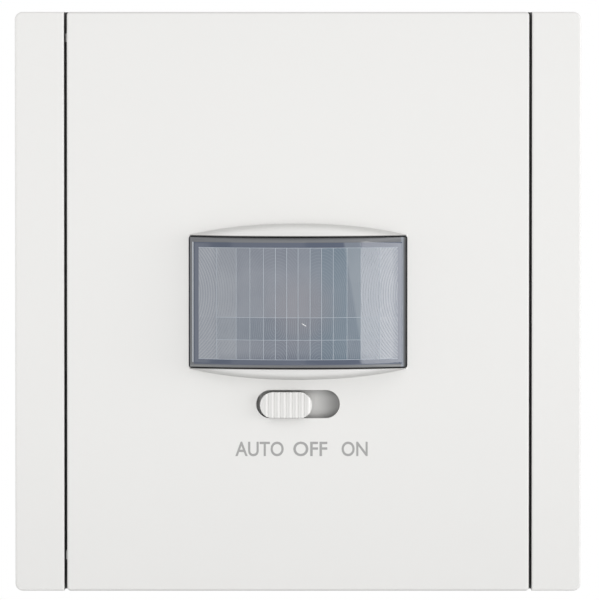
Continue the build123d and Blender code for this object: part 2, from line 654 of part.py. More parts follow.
# Black clamp with the funnel that keeps stray light off the sensor
with BuildPart() as lens_bezel:
    with BuildSketch(at_depth(BEZEL_BACK_Y)):
        RectangleRounded(BEZEL_W, LENS_FLANGE_H, BEZEL_R)
        with GridLocations(2 * BEZEL_PIN_X, 2 * BEZEL_PIN_Z, 2, 2):
            Circle(BEZEL_PIN_R + SCREW_FIT, mode=Mode.SUBTRACT)
    extrude(amount=BEZEL_T)
    with BuildSketch(at_depth(BEZEL_BACK_Y)):
        Rectangle(BEZEL_FIELD_W + 2 * FUNNEL_WALL, BEZEL_FIELD_H + 2 * FUNNEL_WALL)
    with BuildSketch(at_depth(FUNNEL_BACK_Y)):
        Rectangle(FUNNEL_W + 2 * FUNNEL_WALL, FUNNEL_H + 2 * FUNNEL_WALL)
    loft()
    with BuildSketch(at_depth(LENS_BACK_Y)):
        Rectangle(BEZEL_FIELD_W, BEZEL_FIELD_H)
    with BuildSketch(at_depth(FUNNEL_BACK_Y)):
        Rectangle(FUNNEL_W, FUNNEL_H)
    loft(mode=Mode.SUBTRACT)

# Mode slider: ribbed knob, carrier plate and forked leg
with BuildPart() as mode_slider:
    knob_base_y = PANEL_FACE_Y - KNOB_PROUD
    with BuildSketch(Plane.XY.offset(SLIDER_Z - KNOB_H / 2)):
        with Locations((SLIDER_X, CARRIER_BACK_Y)):
            Rectangle(KNOB_L, CARRIER_BACK_Y - knob_base_y, align=(Align.CENTER, Align.MAX))
        with Locations((SLIDER_X, knob_base_y)):
            with GridLocations(KNOB_RIB_PITCH, 0, KNOB_RIB_COUNT, 1):
                Ellipse(KNOB_RIB_PITCH / 2, KNOB_RIB_RISE)
    extrude(amount=KNOB_H)
    with BuildSketch(at_depth(CARRIER_BACK_Y)):
        with Locations((SLIDER_X, SLIDER_Z)):
            SlotOverall(KNOB_L, KNOB_H)
    extrude(amount=COVER_DEPTH, mode=Mode.INTERSECT)
    with BuildSketch(at_depth(CARRIER_BACK_Y)):
        with Locations((SLIDER_X, SLIDER_Z)):
            RectangleRounded(CARRIER_L, CARRIER_H, CARRIER_R)
    extrude(amount=CARRIER_T)
    with BuildSketch(at_depth(LEG_END_Y)):
        with Locations((SLIDER_X, LEG_Z)):
            Rectangle(LEG_W, LEG_H)
    extrude(amount=LEG_END_Y - CARRIER_BACK_Y)
    fork_depth = LEG_END_Y - STEM_FACE_Y + STEM_RUN
    with BuildSketch(at_depth(LEG_END_Y)):
        with Locations((SLIDER_X, LEG_Z)):
            Rectangle(STEM_W + 2 * STEM_FIT, LEG_H)
    extrude(amount=fork_depth, mode=Mode.SUBTRACT)

# Keeper plate behind the carrier, staked to the panel
with BuildPart() as slider_retainer:
    with BuildSketch(at_depth(RETAINER_BACK_Y)):
        with Locations((0, SLIDER_Z)):
            RectangleRounded(RETAINER_L, RETAINER_H, CARRIER_R)
        with Locations((0, LEG_Z)):
            Rectangle(
                LEG_W + MODE_TRAVEL + 2 * LEG_GAP, LEG_H + 2 * LEG_GAP, mode=Mode.SUBTRACT
            )
        with Locations((-RETAINER_POST_X, SLIDER_Z), (RETAINER_POST_X, SLIDER_Z)):
            Circle(RETAINER_POST_R + SCREW_FIT, mode=Mode.SUBTRACT)
    extrude(amount=RETAINER_T)

# Housing of the sensor head
with BuildPart() as sensor_housing:
    with BuildSketch(at_depth(HEAD_DEPTH)):
        RectangleRounded(HEAD_W, HEAD_H, HEAD_CORNER_R)
    extrude(amount=HEAD_DEPTH - FLANGE_FACE_Y)
    fillet(sensor_housing.faces().sort_by(Axis.Y)[-1].edges(), HEAD_EDGE_R)
    notch_w = 2 * (CLAW_BALL_R + CLAW_NOTCH_GAP)
    notch_l = FLANGE_W / 2 - CLAW_X + notch_w / 2
    with BuildSketch(at_depth(FLANGE_BACK_Y)):
        RectangleRounded(FLANGE_W, FLANGE_H, FLANGE_CORNER_R)
        for side in SIDES:
            with Locations((side * (FLANGE_W / 2 - notch_l / 2), 0)):
                Rectangle(notch_l, notch_w, mode=Mode.SUBTRACT)
        with GridLocations(2 * HEAD_SCREW_X, 2 * HEAD_SCREW_Z, 2, 2):
            Circle(HEAD_SCREW_R + SCREW_PASS, mode=Mode.SUBTRACT)
    extrude(amount=FLANGE_T)
    # Pads that rest on the support plate
    pad_spacing_x = FLANGE_W - 2 * FLANGE_PAD_INSET_X
    pad_spacing_z = FLANGE_H - 2 * FLANGE_PAD_INSET_Z
    with BuildSketch(at_depth(-PLATE_T - REST_GAP)):
        with GridLocations(pad_spacing_x, pad_spacing_z, 2, 2):
            Rectangle(FLANGE_PAD_W, FLANGE_PAD_W)
    extrude(amount=-PLATE_T - REST_GAP - FLANGE_BACK_Y)
    with BuildSketch(at_depth(HEAD_FLOOR_Y)):
        RectangleRounded(HEAD_INNER_W, HEAD_INNER_H, HEAD_CORNER_R - HEAD_WALL)
    extrude(amount=HEAD_FLOOR_Y + COVER_DEPTH, mode=Mode.SUBTRACT)
    # Posts of the sensor board
    with BuildSketch(at_depth(HEAD_FLOOR_Y)):
        with GridLocations(2 * BOARD_SCREW_X, 2 * BOARD_SCREW_Z, 2, 2):
            Circle(BOARD_POST_R)
    extrude(amount=HEAD_FLOOR_Y - BOARD_BACK_Y)
    with BuildSketch(at_depth(HEAD_FLOOR_Y)):
        with GridLocations(2 * BOARD_SCREW_X, 2 * BOARD_SCREW_Z, 2, 2):
            Circle(SMALL_SCREW_R + SCREW_FIT)
    extrude(amount=HEAD_FLOOR_Y - BOARD_BACK_Y, mode=Mode.SUBTRACT)
    # Holes for the two setting dials and for the plug
    with BuildSketch(at_depth(HEAD_DEPTH)):
        with Locations((-TRIMMER_X, -TRIMMER_DROP), (TRIMMER_X, -TRIMMER_DROP)):
            Circle(DIAL_R + DIAL_HOLE_GAP)
        with Locations((0, PLUG_Z)):
            Rectangle(PLUG_W + 2 * PLUG_GAP, PLUG_H + 2 * PLUG_GAP)
    extrude(amount=HEAD_WALL, mode=Mode.SUBTRACT)

# Screws between the sensor housing and the panel, put in from behind
with BuildPart() as head_screws:
    for x, z in corners(2 * HEAD_SCREW_X, 2 * HEAD_SCREW_Z):
        place = Plane((x, FLANGE_BACK_Y, z), x_dir=(1, 0, 0), z_dir=(0, 1, 0))
        one = screw(HEAD_SCREW_HEAD_R, HEAD_SCREW_HEAD_H, HEAD_SCREW_R, HEAD_SCREW_L)
        add(place.from_local_coords(one))

# Sensor board
with BuildPart(at_depth(BOARD_BACK_Y)) as sensor_board:
    with BuildSketch(at_depth(BOARD_BACK_Y)):
        RectangleRounded(BOARD_W, BOARD_H, BOARD_CORNER_R)
    extrude(amount=BOARD_T)
    with GridLocations(2 * BOARD_SCREW_X, 2 * BOARD_SCREW_Z, 2, 2):
        Hole(SMALL_SCREW_R + SCREW_PASS)
    with PolarLocations(PIR_LEAD_CIRCLE_R, 4):
        Hole(PIR_LEAD_R + LEAD_PASS)
    with Locations((0, PLUG_Z)):
        with GridLocations(PIN_PITCH, 0, PIN_COUNT, 1):
            Hole(PIN_HOLE_R)

with BuildPart() as board_screws:
    for x, z in corners(2 * BOARD_SCREW_X, 2 * BOARD_SCREW_Z):
        place = Plane((x, BOARD_FACE, z), x_dir=(1, 0, 0), z_dir=(0, -1, 0))
        one = screw(SMALL_SCREW_HEAD_R, SMALL_SCREW_HEAD_H, SMALL_SCREW_R, SMALL_SCREW_L)
        add(place.from_local_coords(one))

# Heat sensor in its can, with three leads through the board
with BuildPart() as pir_sensor:
    pir_back_y = BOARD_FACE - PIR_LIFT
    with BuildSketch(at_depth(pir_back_y)):
        Circle(PIR_RIM_R)
    extrude(amount=PIR_RIM_T)
    with BuildSketch(at_depth(pir_back_y)):
        Circle(PIR_CAN_R)
    extrude(amount=PIR_H)
    fillet(pir_sensor.edges().filter_by(GeomType.CIRCLE).sort_by(Axis.Y)[0], PIR_EDGE_R)
    with BuildSketch(at_depth(pir_back_y - PIR_H + PIR_VIEW_T)):
        Rectangle(PIR_VIEW_W, PIR_VIEW_H)
    extrude(amount=PIR_VIEW_T, mode=Mode.SUBTRACT)
    with BuildSketch(at_depth(pir_back_y + PIR_LEAD_L)):
        with PolarLocations(PIR_LEAD_CIRCLE_R, 3, start_angle=0, angular_range=270):
            Circle(PIR_LEAD_R)
    extrude(amount=PIR_LEAD_L)

with BuildPart() as pir_window:
    with BuildSketch(at_depth(pir_back_y - PIR_H + PIR_VIEW_T)):
        Rectangle(PIR_VIEW_W, PIR_VIEW_H)
    extrude(amount=PIR_VIEW_T)


def eye(x):
    """A small domed lamp or photo diode on the sensor board."""
    with BuildPart() as body:
        with BuildSketch(at_depth(BOARD_FACE)):
            with Locations((x, 0)):
                Circle(EYE_RIM_R)
        extrude(amount=EYE_RIM_T)
        with BuildSketch(at_depth(BOARD_FACE)):
            with Locations((x, 0)):
                Circle(EYE_R)
        extrude(amount=EYE_H - EYE_R)
        with Locations((x, BOARD_FACE - EYE_H + EYE_R, 0)):
            Sphere(EYE_R)
    return body


light_sensor = eye(EYE_X)
status_led = eye(-EYE_X)

# Slide switch on the board, with its stem in the slider's fork
with BuildPart() as mode_switch:
    with BuildSketch(at_depth(BOARD_FACE)):
        with Locations((0, LEG_Z)):
            Rectangle(SWITCH_L, SWITCH_H)
    extrude(amount=SWITCH_T)
    chamfer(mode_switch.faces().sort_by(Axis.Y)[0].edges(), STEM_RUN)
    with BuildSketch(at_depth(SWITCH_FACE_Y + SWITCH_WELL)):
        with Locations((0, LEG_Z)):
            Rectangle(STEM_W + MODE_TRAVEL + 2 * STEM_RUN, STEM_W + 2 * STEM_FIT)
    extrude(amount=SWITCH_WELL, mode=Mode.SUBTRACT)

with BuildPart() as switch_actuator:
    stem_end_y = SWITCH_FACE_Y + SWITCH_WELL - STEM_RUN
    with BuildSketch(at_depth(stem_end_y)):
        with Locations((SLIDER_X, LEG_Z)):
            Rectangle(STEM_W, STEM_W)
    extrude(amount=stem_end_y - STEM_FACE_Y)

# Controller and a small capacitor on the sensor board
with BuildPart() as controller_chip:
    with BuildSketch(at_depth(BOARD_FACE)):
        with Locations((-CHIP_X, CHIP_Z)):
            Rectangle(CHIP_W, CHIP_W)
    extrude(amount=CHIP_T)
    chamfer(controller_chip.faces().sort_by(Axis.Y)[0].edges(), STEM_RUN)

with BuildPart() as board_capacitor:
    with BuildSketch(at_depth(BOARD_FACE)):
        with Locations((BOARD_CAP_X, BOARD_CAP_Z)):
            Circle(BOARD_CAP_R)
    extrude(amount=BOARD_CAP_H)
    fillet(board_capacitor.faces().sort_by(Axis.Y)[0].edges(), CAP_EDGE_R)


def trimmer(x):
    """Base of a setting dial, on the back of the sensor board."""
    with BuildPart() as body:
        with BuildSketch(at_depth(TRIMMER_BACK_Y)):
            with Locations((x, -TRIMMER_DROP)):
                RectangleRounded(TRIMMER_W, TRIMMER_W, HEAD_EDGE_R)
        extrude(amount=TRIMMER_T)
        with BuildSketch(at_depth(TRIMMER_BACK_Y)):
            with Locations((x, -TRIMMER_DROP)):
                Circle(DIAL_PIN_R + DIAL_FIT)
        extrude(amount=DIAL_PIN_L + DIAL_GAP, mode=Mode.SUBTRACT)
    return body


def dial(x):
    """Setting dial with a driver slot, turned from behind the sensor head."""
    with BuildPart() as body:
        with BuildSketch(at_depth(DIAL_BACK_Y)):
            with Locations((x, -TRIMMER_DROP)):
                Circle(DIAL_R)
        extrude(amount=DIAL_T)
        fillet(body.faces().sort_by(Axis.Y)[-1].edges(), DIAL_EDGE_R)
        with BuildSketch(at_depth(DIAL_BACK_Y)):
            with Locations((x, -TRIMMER_DROP)):
                Rectangle(DIAL_SLOT_W, DIAL_SLOT_L)
        extrude(amount=DIAL_SLOT_DEPTH, mode=Mode.SUBTRACT)
        with BuildSketch(at_depth(DIAL_FACE_Y)):
            with Locations((x, -TRIMMER_DROP)):
                Circle(DIAL_PIN_R)
        extrude(amount=DIAL_PIN_L)
    return body


lux_trimmer = trimmer(-TRIMMER_X)
time_trimmer = trimmer(TRIMMER_X)
lux_dial = dial(-TRIMMER_X)
time_dial = dial(TRIMMER_X)

# Plug of the sensor head
with BuildPart() as plug_header:
    with BuildSketch(at_depth(PLUG_BACK_Y)):
        with Locations((0, PLUG_Z)):
            Rectangle(PLUG_W, PLUG_H)
            with GridLocations(PIN_PITCH, 0, PIN_COUNT, 1):
                Rectangle(PIN_W, PIN_W, mode=Mode.SUBTRACT)
    extrude(amount=PLUG_BACK_Y - BOARD_BACK_Y)

with BuildPart() as plug_pins:
    with BuildSketch(at_depth(PIN_START_Y + PIN_L)):
        with Locations((0, PLUG_Z)):
            with GridLocations(PIN_PITCH, 0, PIN_COUNT, 1):
                Rectangle(PIN_W, PIN_W)
    extrude(amount=PIN_L)

# Steel support plate
with BuildPart() as support_plate:
    opening_w = HEAD_W + 2 * PLATE_HEAD_GAP
    opening_h = HEAD_H + 2 * PLATE_HEAD_GAP
    hole_spacing_x = PLATE_W - 2 * PLATE_HOLE_INSET
    hole_spacing_z = PLATE_H - 2 * PLATE_HOLE_INSET
    with BuildSketch(at_depth(WALL_Y)):
        RectangleRounded(PLATE_W, PLATE_H, PLATE_CORNER_R)
        RectangleRounded(
            opening_w, opening_h, HEAD_CORNER_R + PLATE_HEAD_GAP, mode=Mode.SUBTRACT
        )
        with GridLocations(BOX_SPACING, 0, 2, 1):
            SlotOverall(BOX_SLOT_L, BOX_SLOT_W, mode=Mode.SUBTRACT)
        with GridLocations(0, BOX_SPACING, 1, 2):
            SlotOverall(BOX_SLOT_L, BOX_SLOT_W, rotation=90, mode=Mode.SUBTRACT)
        with GridLocations(2 * CLAW_X, 0, 2, 1):
            SlotOverall(CLAW_HOLE_L, CLAW_HOLE_W, mode=Mode.SUBTRACT)
        with GridLocations(2 * RIVET_X, 2 * RIVET_Z, 2, 2):
            Circle(RIVET_R + SCREW_FIT, mode=Mode.SUBTRACT)
        with GridLocations(hole_spacing_x, hole_spacing_z, 2, 2):
            Circle(PLATE_HOLE_R, mode=Mode.SUBTRACT)
        with GridLocations(PLATE_W, PLATE_NOTCH_PITCH, 2, 2):
            Rectangle(2 * PLATE_NOTCH_DEPTH, PLATE_NOTCH_W, mode=Mode.SUBTRACT)
    extrude(amount=PLATE_T)

with BuildPart() as plate_rivets:
    for x, z in corners(2 * RIVET_X, 2 * RIVET_Z):
        with BuildSketch(at_depth(-PLATE_T)):
            with Locations((x, z)):
                Circle(RIVET_HEAD_R)
        extrude(amount=RIVET_HEAD_H)
        with BuildSketch(at_depth(RIVET_L)):
            with Locations((x, z)):
                Circle(RIVET_R)
        extrude(amount=RIVET_L + PLATE_T)
    head_faces = plate_rivets.faces().filter_by(Axis.Y).group_by(Axis.Y)[0]
    fillet(head_faces.edges(), RIVET_HEAD_H / 2)

# Insert housing: a cup with a pocket for each claw
with BuildPart() as insert_housing:
    with BuildSketch(at_depth(HOUSING_DEPTH)):
        housing_outline(0)
    extrude(amount=HOUSING_DEPTH)
    fillet(insert_housing.faces().sort_by(Axis.Y)[-1].edges(), HOUSING_EDGE_R)
    with BuildSketch(at_depth(HOUSING_FLOOR_Y)):
        housing_outline(HOUSING_WALL)
    extrude(amount=HOUSING_FLOOR_Y, mode=Mode.SUBTRACT)
    # Bosses of the rivets, in the corners between wall and tub
    with BuildSketch(at_depth(RIVET_BOSS_L)):
        with GridLocations(2 * RIVET_X, 2 * RIVET_Z, 2, 2):
            Circle(RIVET_BOSS_R)
    extrude(amount=RIVET_BOSS_L)
    with BuildSketch(at_depth(RIVET_L + REST_GAP)):
        with GridLocations(2 * RIVET_X, 2 * RIVET_Z, 2, 2):
            Circle(RIVET_R + SCREW_FIT)
    extrude(amount=RIVET_L + REST_GAP, mode=Mode.SUBTRACT)
    # Driver holes at the back and conductor entries at the bottom
    with BuildSketch(at_depth(HOUSING_DEPTH)):
        with Locations((0, TERMINAL_Z)):
            with GridLocations(TERMINAL_PITCH, 0, TERMINAL_COUNT, 1):
                Circle(TERMINAL_ACCESS_R)
    extrude(amount=HOUSING_WALL, mode=Mode.SUBTRACT)
    with BuildSketch(Plane.XY.offset(-HOUSING_H / 2)):
        with Locations((0, WIRE_Y)):
            with GridLocations(TERMINAL_PITCH, 0, TERMINAL_COUNT, 1):
                Circle(WIRE_R + WIRE_FUNNEL)
    extrude(amount=HOUSING_WALL, mode=Mode.SUBTRACT)

# Tub that takes the sensor head and carries the power board
with BuildPart() as insert_tub:
    with BuildSketch(at_depth(TUB_BACK_Y)):
        RectangleRounded(TUB_OUTER_W, TUB_OUTER_H, HEAD_CORNER_R + TUB_GAP + TUB_WALL)
    extrude(amount=TUB_BACK_Y)
    with BuildSketch(at_depth(TUB_FLANGE_T)):
        housing_outline(HOUSING_WALL + FIT_GAP)
        with GridLocations(2 * RIVET_X, 2 * RIVET_Z, 2, 2):
            Circle(RIVET_BOSS_R + FIT_GAP, mode=Mode.SUBTRACT)
    extrude(amount=TUB_FLANGE_T)
    with BuildSketch(at_depth(TUB_FLOOR)):
        RectangleRounded(TUB_W, TUB_H, HEAD_CORNER_R + TUB_GAP)
    extrude(amount=TUB_FLOOR, mode=Mode.SUBTRACT)
    # Posts of the power board, with pilot holes from behind
    with BuildSketch(at_depth(POWER_BOARD_FACE_Y)):
        with GridLocations(2 * TUB_POST_X, 2 * TUB_POST_Z, 2, 2):
            Circle(TUB_POST_R)
    extrude(amount=POWER_BOARD_FACE_Y - TUB_BACK_Y)
    with BuildSketch(at_depth(POWER_BOARD_FACE_Y)):
        with GridLocations(2 * TUB_POST_X, 2 * TUB_POST_Z, 2, 2):
            Circle(SMALL_SCREW_R + SCREW_FIT)
    extrude(amount=TUB_POST_BORE, mode=Mode.SUBTRACT)
    # Way through for the plug, and a window for each leaf spring
    with BuildSketch(at_depth(TUB_BACK_Y)):
        with Locations((0, PLUG_Z)):
            Rectangle(PLUG_W + 2 * SOCKET_WINDOW_GAP, PLUG_H + 2 * SOCKET_WINDOW_GAP)
    extrude(amount=TUB_FLOOR_T, mode=Mode.SUBTRACT)
    window_l = SPRING_L - 2 * SPRING_END
    window_y = SPRING_FACE + SPRING_L / 2
    with BuildSketch(Plane.XY.offset(-TUB_OUTER_H / 2)):
        with Locations((0, window_y)):
            Rectangle(SPRING_W + 2 * SPRING_WINDOW_GAP, window_l)
    extrude(amount=TUB_OUTER_H, mode=Mode.SUBTRACT)

# Leaf springs that grip the sensor head from above and below
with BuildPart() as head_springs:
    spring_seat_z = TUB_OUTER_H / 2
    spring_touch_z = HEAD_H / 2 + SPRING_TOUCH
    spring_run = [
        (SPRING_FACE, spring_seat_z),
        (SPRING_FACE + SPRING_END, spring_seat_z),
        (SPRING_FACE + SPRING_L / 2, spring_touch_z),
        (SPRING_FACE + SPRING_L - SPRING_END, spring_seat_z),
        (SPRING_FACE + SPRING_L, spring_seat_z),
    ]
    spring_back = [(y, z + SPRING_T) for y, z in reversed(spring_run)]
    with BuildSketch(Plane.YZ.offset(-SPRING_W / 2)):
        with BuildLine():
            Polyline(*spring_run, *spring_back, close=True)
        make_face()
    extrude(amount=SPRING_W)
    mirror(about=Plane.XY)

# Socket on the power board, which takes the pins of the sensor head
with BuildPart() as socket_connector:
    with BuildSketch(at_depth(POWER_BOARD_FACE_Y)):
        with Locations((0, PLUG_Z)):
            Rectangle(PLUG_W, PLUG_H)
            with GridLocations(PIN_PITCH, 0, PIN_COUNT, 1):
                Rectangle(PIN_HOLE_W, PIN_HOLE_W, mode=Mode.SUBTRACT)
    extrude(amount=POWER_BOARD_FACE_Y - SOCKET_FACE_Y)

with BuildPart(at_depth(POWER_BOARD_BACK_Y)) as power_board:
    with BuildSketch(at_depth(POWER_BOARD_BACK_Y)):
        housing_outline(HOUSING_WALL + POWER_BOARD_GAP)
    extrude(amount=POWER_BOARD_T)
    with GridLocations(2 * TUB_POST_X, 2 * TUB_POST_Z, 2, 2):
        Hole(SMALL_SCREW_R + SCREW_PASS)

with BuildPart() as power_board_screws:
    for x, z in corners(2 * TUB_POST_X, 2 * TUB_POST_Z):
        place = Plane((x, POWER_BOARD_BACK_Y, z), x_dir=(1, 0, 0), z_dir=(0, 1, 0))
        one = screw(SMALL_SCREW_HEAD_R, SMALL_SCREW_HEAD_H, SMALL_SCREW_R, SMALL_SCREW_L)
        add(place.from_local_coords(one))


def boxed(width, height, thickness, x, z, edge_r):
    """A component with rounded edges that stands on the back of the power board."""
    top_y = POWER_BOARD_BACK_Y + thickness
    with BuildPart() as body:
        with BuildSketch(at_depth(top_y)):
            with Locations((x, z)):
                Rectangle(width, height)
        extrude(amount=thickness)
        board_edges = body.faces().sort_by(Axis.Y)[0].edges()
        fillet(body.edges() - board_edges, edge_r)
    return body


relay = boxed(RELAY_W, RELAY_H, RELAY_T, RELAY_X, RELAY_Z, RELAY_EDGE_R)
line_capacitor = boxed(LINE_CAP_W, LINE_CAP_H, LINE_CAP_T, LINE_CAP_X, LINE_CAP_Z, FILM_EDGE_R)
snubber_capacitor = boxed(SNUBBER_W, SNUBBER_H, SNUBBER_T, SNUBBER_X, SNUBBER_Z, FILM_EDGE_R)

# Electrolytic capacitor, with the groove that holds its stopper
with BuildPart() as bulk_capacitor:
    axis_place = (BULK_CAP_X, POWER_BOARD_BACK_Y, BULK_CAP_Z)
    groove_r = BULK_CAP_R - BULK_CAP_GROOVE
    with BuildSketch(Plane(axis_place)):
        with BuildLine():
            Polyline(
                (0, 0),
                (groove_r, 0),
                (BULK_CAP_R, BULK_CAP_GROOVE),
                (BULK_CAP_R, BULK_CAP_GROOVE_Y - BULK_CAP_GROOVE),
                (groove_r, BULK_CAP_GROOVE_Y),
                (BULK_CAP_R, BULK_CAP_GROOVE_Y + BULK_CAP_GROOVE),
                (BULK_CAP_R, BULK_CAP_H - BULK_CAP_GROOVE),
                (groove_r, BULK_CAP_H),
                (0, BULK_CAP_H),
                close=True,
            )
        make_face()
    revolve(axis=Axis(axis_place, (0, 1, 0)))

# Varistor: a coated disc on two leads
with BuildPart() as varistor:
    disc_y = POWER_BOARD_BACK_Y + VARISTOR_LIFT + VARISTOR_R
    with BuildSketch(Plane.XY.offset(VARISTOR_Z - VARISTOR_T / 2)):
        with Locations((VARISTOR_X, disc_y)):
            Circle(VARISTOR_R)
    extrude(amount=VARISTOR_T)
    fillet(varistor.edges(), VARISTOR_T / 4)
    with BuildSketch(at_depth(disc_y)):
        with Locations((VARISTOR_X, VARISTOR_Z)):
            with GridLocations(VARISTOR_LEAD_SPACING, 0, 2, 1):
                Circle(VARISTOR_LEAD_R)
    extrude(amount=disc_y - POWER_BOARD_BACK_Y)

with BuildPart() as fuse:
    with BuildSketch(at_depth(POWER_BOARD_BACK_Y + FUSE_H)):
        with Locations((FUSE_X, FUSE_Z)):
            Circle(FUSE_R)
    extrude(amount=FUSE_H)
    fillet(fuse.faces().sort_by(Axis.Y)[-1].edges(), CAP_EDGE_R)

# Choke: winding between the two flanges of its core
with BuildPart() as choke:
    choke_place = (CHOKE_X, POWER_BOARD_BACK_Y, CHOKE_Z)
    with BuildSketch(Plane(choke_place)):
        with BuildLine():
            Polyline(
                (0, 0),
                (CHOKE_R, 0),
                (CHOKE_R, CHOKE_FLANGE_T),
                (CHOKE_WINDING_R, CHOKE_FLANGE_T),
                (CHOKE_WINDING_R, CHOKE_H - CHOKE_FLANGE_T),
                (CHOKE_R, CHOKE_H - CHOKE_FLANGE_T),
                (CHOKE_R, CHOKE_H),
                (0, CHOKE_H),
                close=True,
            )
        make_face()
    revolve(axis=Axis(choke_place, (0, 1, 0)))

# Terminal block: one chamber for each conductor, entry from below, screw behind
with BuildPart() as terminal_block:
    with BuildSketch(at_depth(TERMINAL_BACK_Y)):
        with Locations((0, TERMINAL_Z)):
            Rectangle(TERMINAL_W, TERMINAL_H)
    extrude(amount=TERMINAL_T)
    with BuildSketch(at_depth(TERMINAL_BACK_Y)):
        with Locations((0, TERMINAL_Z)):
            with GridLocations(TERMINAL_PITCH, 0, TERMINAL_COUNT, 1):
                Rectangle(CAGE_W + 2 * CAGE_GAP, CAGE_H + 2 * CAGE_GAP)
    extrude(amount=TERMINAL_BACK_Y - CAGE_FACE_Y, mode=Mode.SUBTRACT)
    with BuildSketch(Plane.XY.offset(TERMINAL_BOTTOM_Z)):
        with Locations((0, WIRE_Y)):
            with GridLocations(TERMINAL_PITCH, 0, TERMINAL_COUNT, 1):
                Circle(WIRE_R)
    extrude(amount=TERMINAL_H / 2, mode=Mode.SUBTRACT)

with BuildPart() as terminal_cages:
    with BuildSketch(at_depth(CAGE_BACK_Y)):
        with Locations((0, TERMINAL_Z)):
            with GridLocations(TERMINAL_PITCH, 0, TERMINAL_COUNT, 1):
                Rectangle(CAGE_W, CAGE_H)
                Circle(TERMINAL_SCREW_R + SCREW_FIT, mode=Mode.SUBTRACT)
    extrude(amount=CAGE_T)
    with BuildSketch(Plane.XY.offset(TERMINAL_Z - CAGE_H / 2)):
        with Locations((0, WIRE_Y)):
            with GridLocations(TERMINAL_PITCH, 0, TERMINAL_COUNT, 1):
                Circle(WIRE_R)
    extrude(amount=CAGE_H, mode=Mode.SUBTRACT)

with BuildPart() as terminal_screws:
    for index in range(TERMINAL_COUNT):
        x = (index - (TERMINAL_COUNT - 1) / 2) * TERMINAL_PITCH
        place = Plane((x, CAGE_BACK_Y, TERMINAL_Z), x_dir=(1, 0, 0), z_dir=(0, 1, 0))
        one = screw(
            TERMINAL_SCREW_HEAD_R, TERMINAL_SCREW_HEAD_H, TERMINAL_SCREW_R, TERMINAL_SCREW_L
        )
        add(place.from_local_coords(one))


def claw(side):
    """Bent steel claw: tapped foot across the screw, toothed leg beside it."""
    foot_in = CLAW_X - CLAW_SCREW_R - CLAW_FOOT_RIM
    leg_out = CLAW_LEG_X + CLAW_T
    leg_face_y = CLAW_FOOT_BACK_Y - CLAW_LEG_L
    tooth_start_y = CLAW_FOOT_BACK_Y - CLAW_TOOTH_COUNT * CLAW_TOOTH_PITCH
    outline = [
        (foot_in, CLAW_FOOT_BACK_Y),
        (foot_in, CLAW_FOOT_Y),
        (CLAW_LEG_X, CLAW_FOOT_Y),
        (CLAW_LEG_X, leg_face_y),
        (leg_out, leg_face_y),
        (leg_out, tooth_start_y),
    ]
    for tooth in range(CLAW_TOOTH_COUNT):
        tooth_y = tooth_start_y + tooth * CLAW_TOOTH_PITCH
        outline.append((leg_out + CLAW_TOOTH_REACH, tooth_y))
        outline.append((leg_out, tooth_y + CLAW_TOOTH_PITCH))
    with BuildPart() as body:
        with BuildSketch(Plane.XY.offset(-CLAW_W / 2)):
            with BuildLine():
                Polyline(*[(side * x, y) for x, y in outline], close=True)
            make_face()
        extrude(amount=CLAW_W)
        with BuildSketch(at_depth(CLAW_FOOT_BACK_Y)):
            with Locations((side * CLAW_X, 0)):
                Circle(CLAW_SCREW_R + CLAW_FIT)
        extrude(amount=CLAW_FOOT_T, mode=Mode.SUBTRACT)
    return body


def claw_screw(side):
    """Claw screw: the round underside of its head rocks in the support plate."""
    ball_foot = sqrt(CLAW_BALL_R**2 - CLAW_SCREW_R**2)
    place = (side * CLAW_X, CLAW_BALL_Y, 0)
    with BuildPart() as body:
        with BuildSketch(Plane(place)):
            with BuildLine():
                CenterArc((0, 0), CLAW_BALL_R, 0, degrees(atan(ball_foot / CLAW_SCREW_R)))
                Polyline(
                    (CLAW_SCREW_R, ball_foot),
                    (CLAW_SCREW_R, CLAW_SCREW_L - CLAW_SCREW_R / 2),
                    (CLAW_SCREW_R / 2, CLAW_SCREW_L),
                    (0, CLAW_SCREW_L),
                    (0, -CLAW_BALL_FACE),
                    (CLAW_BALL_R - CLAW_BALL_FACE / 2, -CLAW_BALL_FACE),
                    (CLAW_BALL_R, 0),
                )
            make_face()
        revolve(axis=Axis(place, (0, 1, 0)))
        with Locations((side * CLAW_X, CLAW_BALL_Y - CLAW_BALL_FACE, 0)):
            Box(2 * CLAW_BALL_R, 2 * DRIVER_SLOT_DEPTH, DRIVER_SLOT_W, mode=Mode.SUBTRACT)
    return body


claw_left = claw(-1)
claw_right = claw(1)
claw_left_screw = claw_screw(-1)
claw_right_screw = claw_screw(1)

